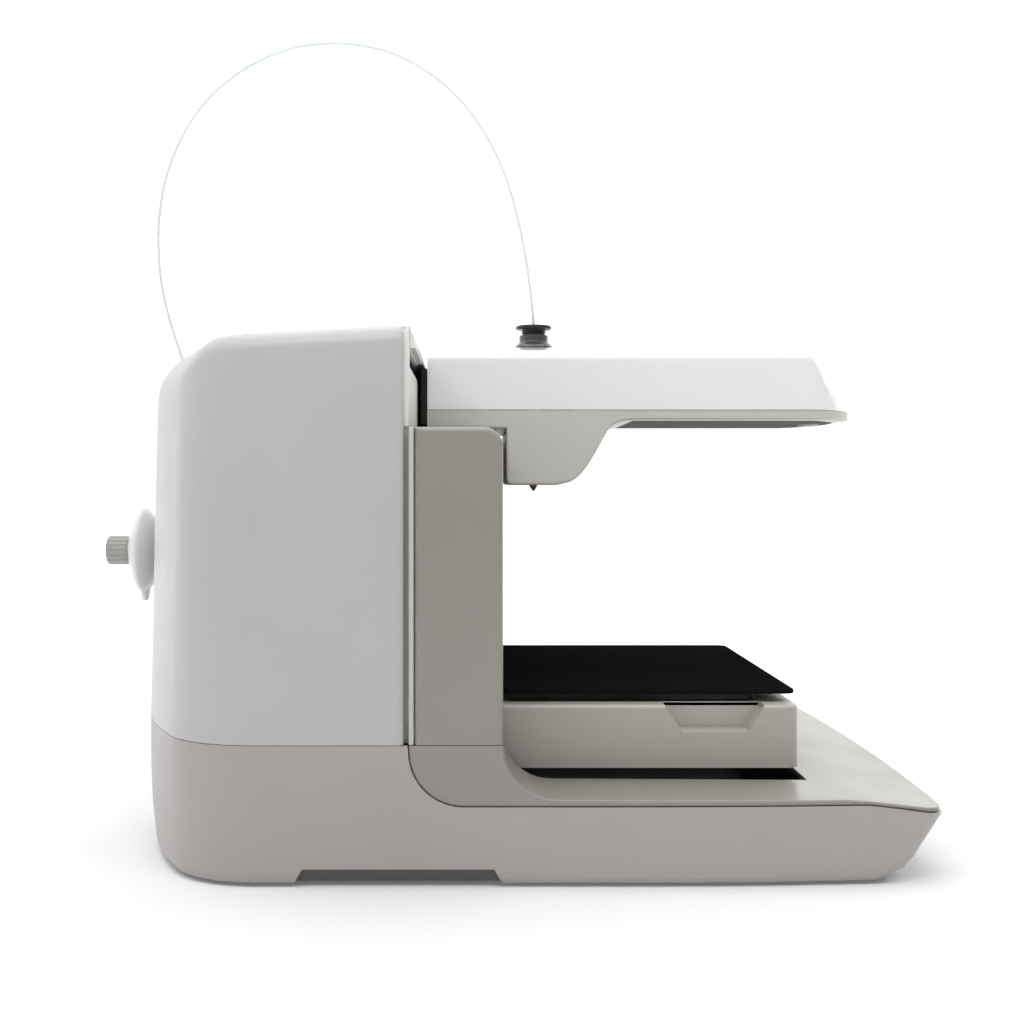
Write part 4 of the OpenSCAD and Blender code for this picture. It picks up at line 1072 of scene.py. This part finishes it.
def make_lever_spring(looks):
    """A five-turn coil between the arm and the lever."""
    low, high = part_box("lever_spring")
    low, high = low / MM, high / MM
    centre = (low + high) / 2
    radius, wire, turns = (high.y - low.y) / 2 - 0.4, 0.35, 5
    route = []
    for i in range(turns * 20 + 1):
        a = 2 * math.pi * i / 20
        x = mix(low.x + wire, high.x - wire, i / (turns * 20))
        route.append(Vector((x, centre.y + radius * math.cos(a), centre.z + radius * math.sin(a))))
    obj = raw("lever_coil", tube(route, wire, 8, (1, 0, 0)))
    shade_smooth(obj, looks["spring"])
    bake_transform(obj)
    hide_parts("lever_spring")


# ---------- CAD nodes that keep their shape ----------

KEPT = {
    # The recess tub's black is partly painted shade of the deep well.
    "recess_tub": ("black", 0.4), "rubber_feet": ("rubber", 0.4),
    "case_screws": ("screw", 0.15), "chassis": ("chassis", 0.3), "z_rods": ("rod_z", 0.3),
    "z_motors": ("motor", 0.4), "x_rods": ("rod_y", 0.3), "x_motor": ("motor", 0.4), "x_belt": ("belt_x", 0),
    "spool_bushes": ("nylon", 0.3), "filament_guide": ("nylon", 0.3), "filament_feed": ("mint", 0),
    "control_board": ("circuit", 0.2), "power_supply": ("zinc", 0.4), "rear_sockets": ("socket", 0.3),
    "power_rocker": ("rocker", 0.4), "x_pulley": ("pulley", 0.2), "x_idler": ("pulley", 0.2),
    "spool": ("spool", 0.4), "winding": ("wound", 0.4), "platform_frame": ("frame", 0.3),
    "z_bearings": ("bearing", 0.3), "z_nuts": ("nut", 0.3), "bed_rods": ("rod_x", 0.3),
    "bed_motor": ("motor", 0.4), "bed_belt": ("belt_bed", 0), "bed_pulley": ("pulley", 0.2),
    "bed_idler": ("pulley", 0.2), "bed_carrier": ("carrier", 0.4), "bed_bearings": ("bearing", 0.3),
    "build_plate": ("plate", 0.35), "underside_cover": ("under", 0.25), "x_carriage": ("bracket", 0.3),
    "x_bearings": ("bearing", 0.3), "extruder_motor": ("motor", 0.3), "heat_sink": ("sink", 0.15),
    "heater_block": ("heater", 0.4), "nozzle": ("brass", 0.12), "fan_frame": ("fan", 0.2),
    "arm_lamp": ("lamp", 0.25), "fan_rotor": ("fan", 0.1), "drive_gear": ("gear", 0.1),
    "idler_lever": ("lever", 0.3), "idler_bearing": ("bearing", 0.2),
}


def dress(node, material, bevel):
    """Material and softened edges for a CAD node that shows as it is."""
    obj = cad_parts[node]
    for i in range(len(obj.data.materials)):
        obj.data.materials[i] = material
    if not obj.data.materials:
        obj.data.materials.append(material)
    weld = obj.modifiers.new("weld", "WELD")
    weld.merge_threshold = 0.005 * MM
    flat = obj.modifiers.new("flat", "DECIMATE")
    flat.decimate_type = "DISSOLVE"
    flat.angle_limit = math.radians(0.8)
    soften(obj, bevel)


def make_stage():
    """A floor that curves up into a backdrop behind the object."""
    profile = [(y, 0) for y in (-4000, -2000, -1000, -400, 0, 400, 1000, 1600)]
    profile += [(1600 + y, 900 + z) for y, z in arc((0, 0), 900, -90, 0, 12)[1:]] + [(2500, 4200)]
    rows = [[(x, y, z - 0.02) for x in (-4500, -2000, -800, 0, 800, 2000, 4500)] for y, z in profile]
    obj = raw("studio_floor", grid(rows))
    shade_smooth(obj, studio_floor("floor_paint"))


def main():
    bpy.context.scene.view_settings.view_transform = "Standard"
    make_camera()
    looks = make_materials()
    make_filament(looks)
    make_lights()
    make_stage()
    make_column(looks)
    make_base(looks)
    make_floor_pan(looks)
    make_front_panel(looks)
    make_cheeks(looks)
    make_tray(looks)
    make_platform_cover(looks)
    make_arm_top(looks)
    make_arm_lower(looks)
    make_hub(looks)
    make_inlet(looks)
    make_lead_screw(looks, "lead_screw_left", "z_screw_left", "left_lift_screw", -1)
    make_lead_screw(looks, "lead_screw_right", "z_screw_right", "right_lift_screw", 1)
    make_lever_spring(looks)
    for node, (look, bevel) in KEPT.items():
        dress(node, looks[look], bevel)


main()
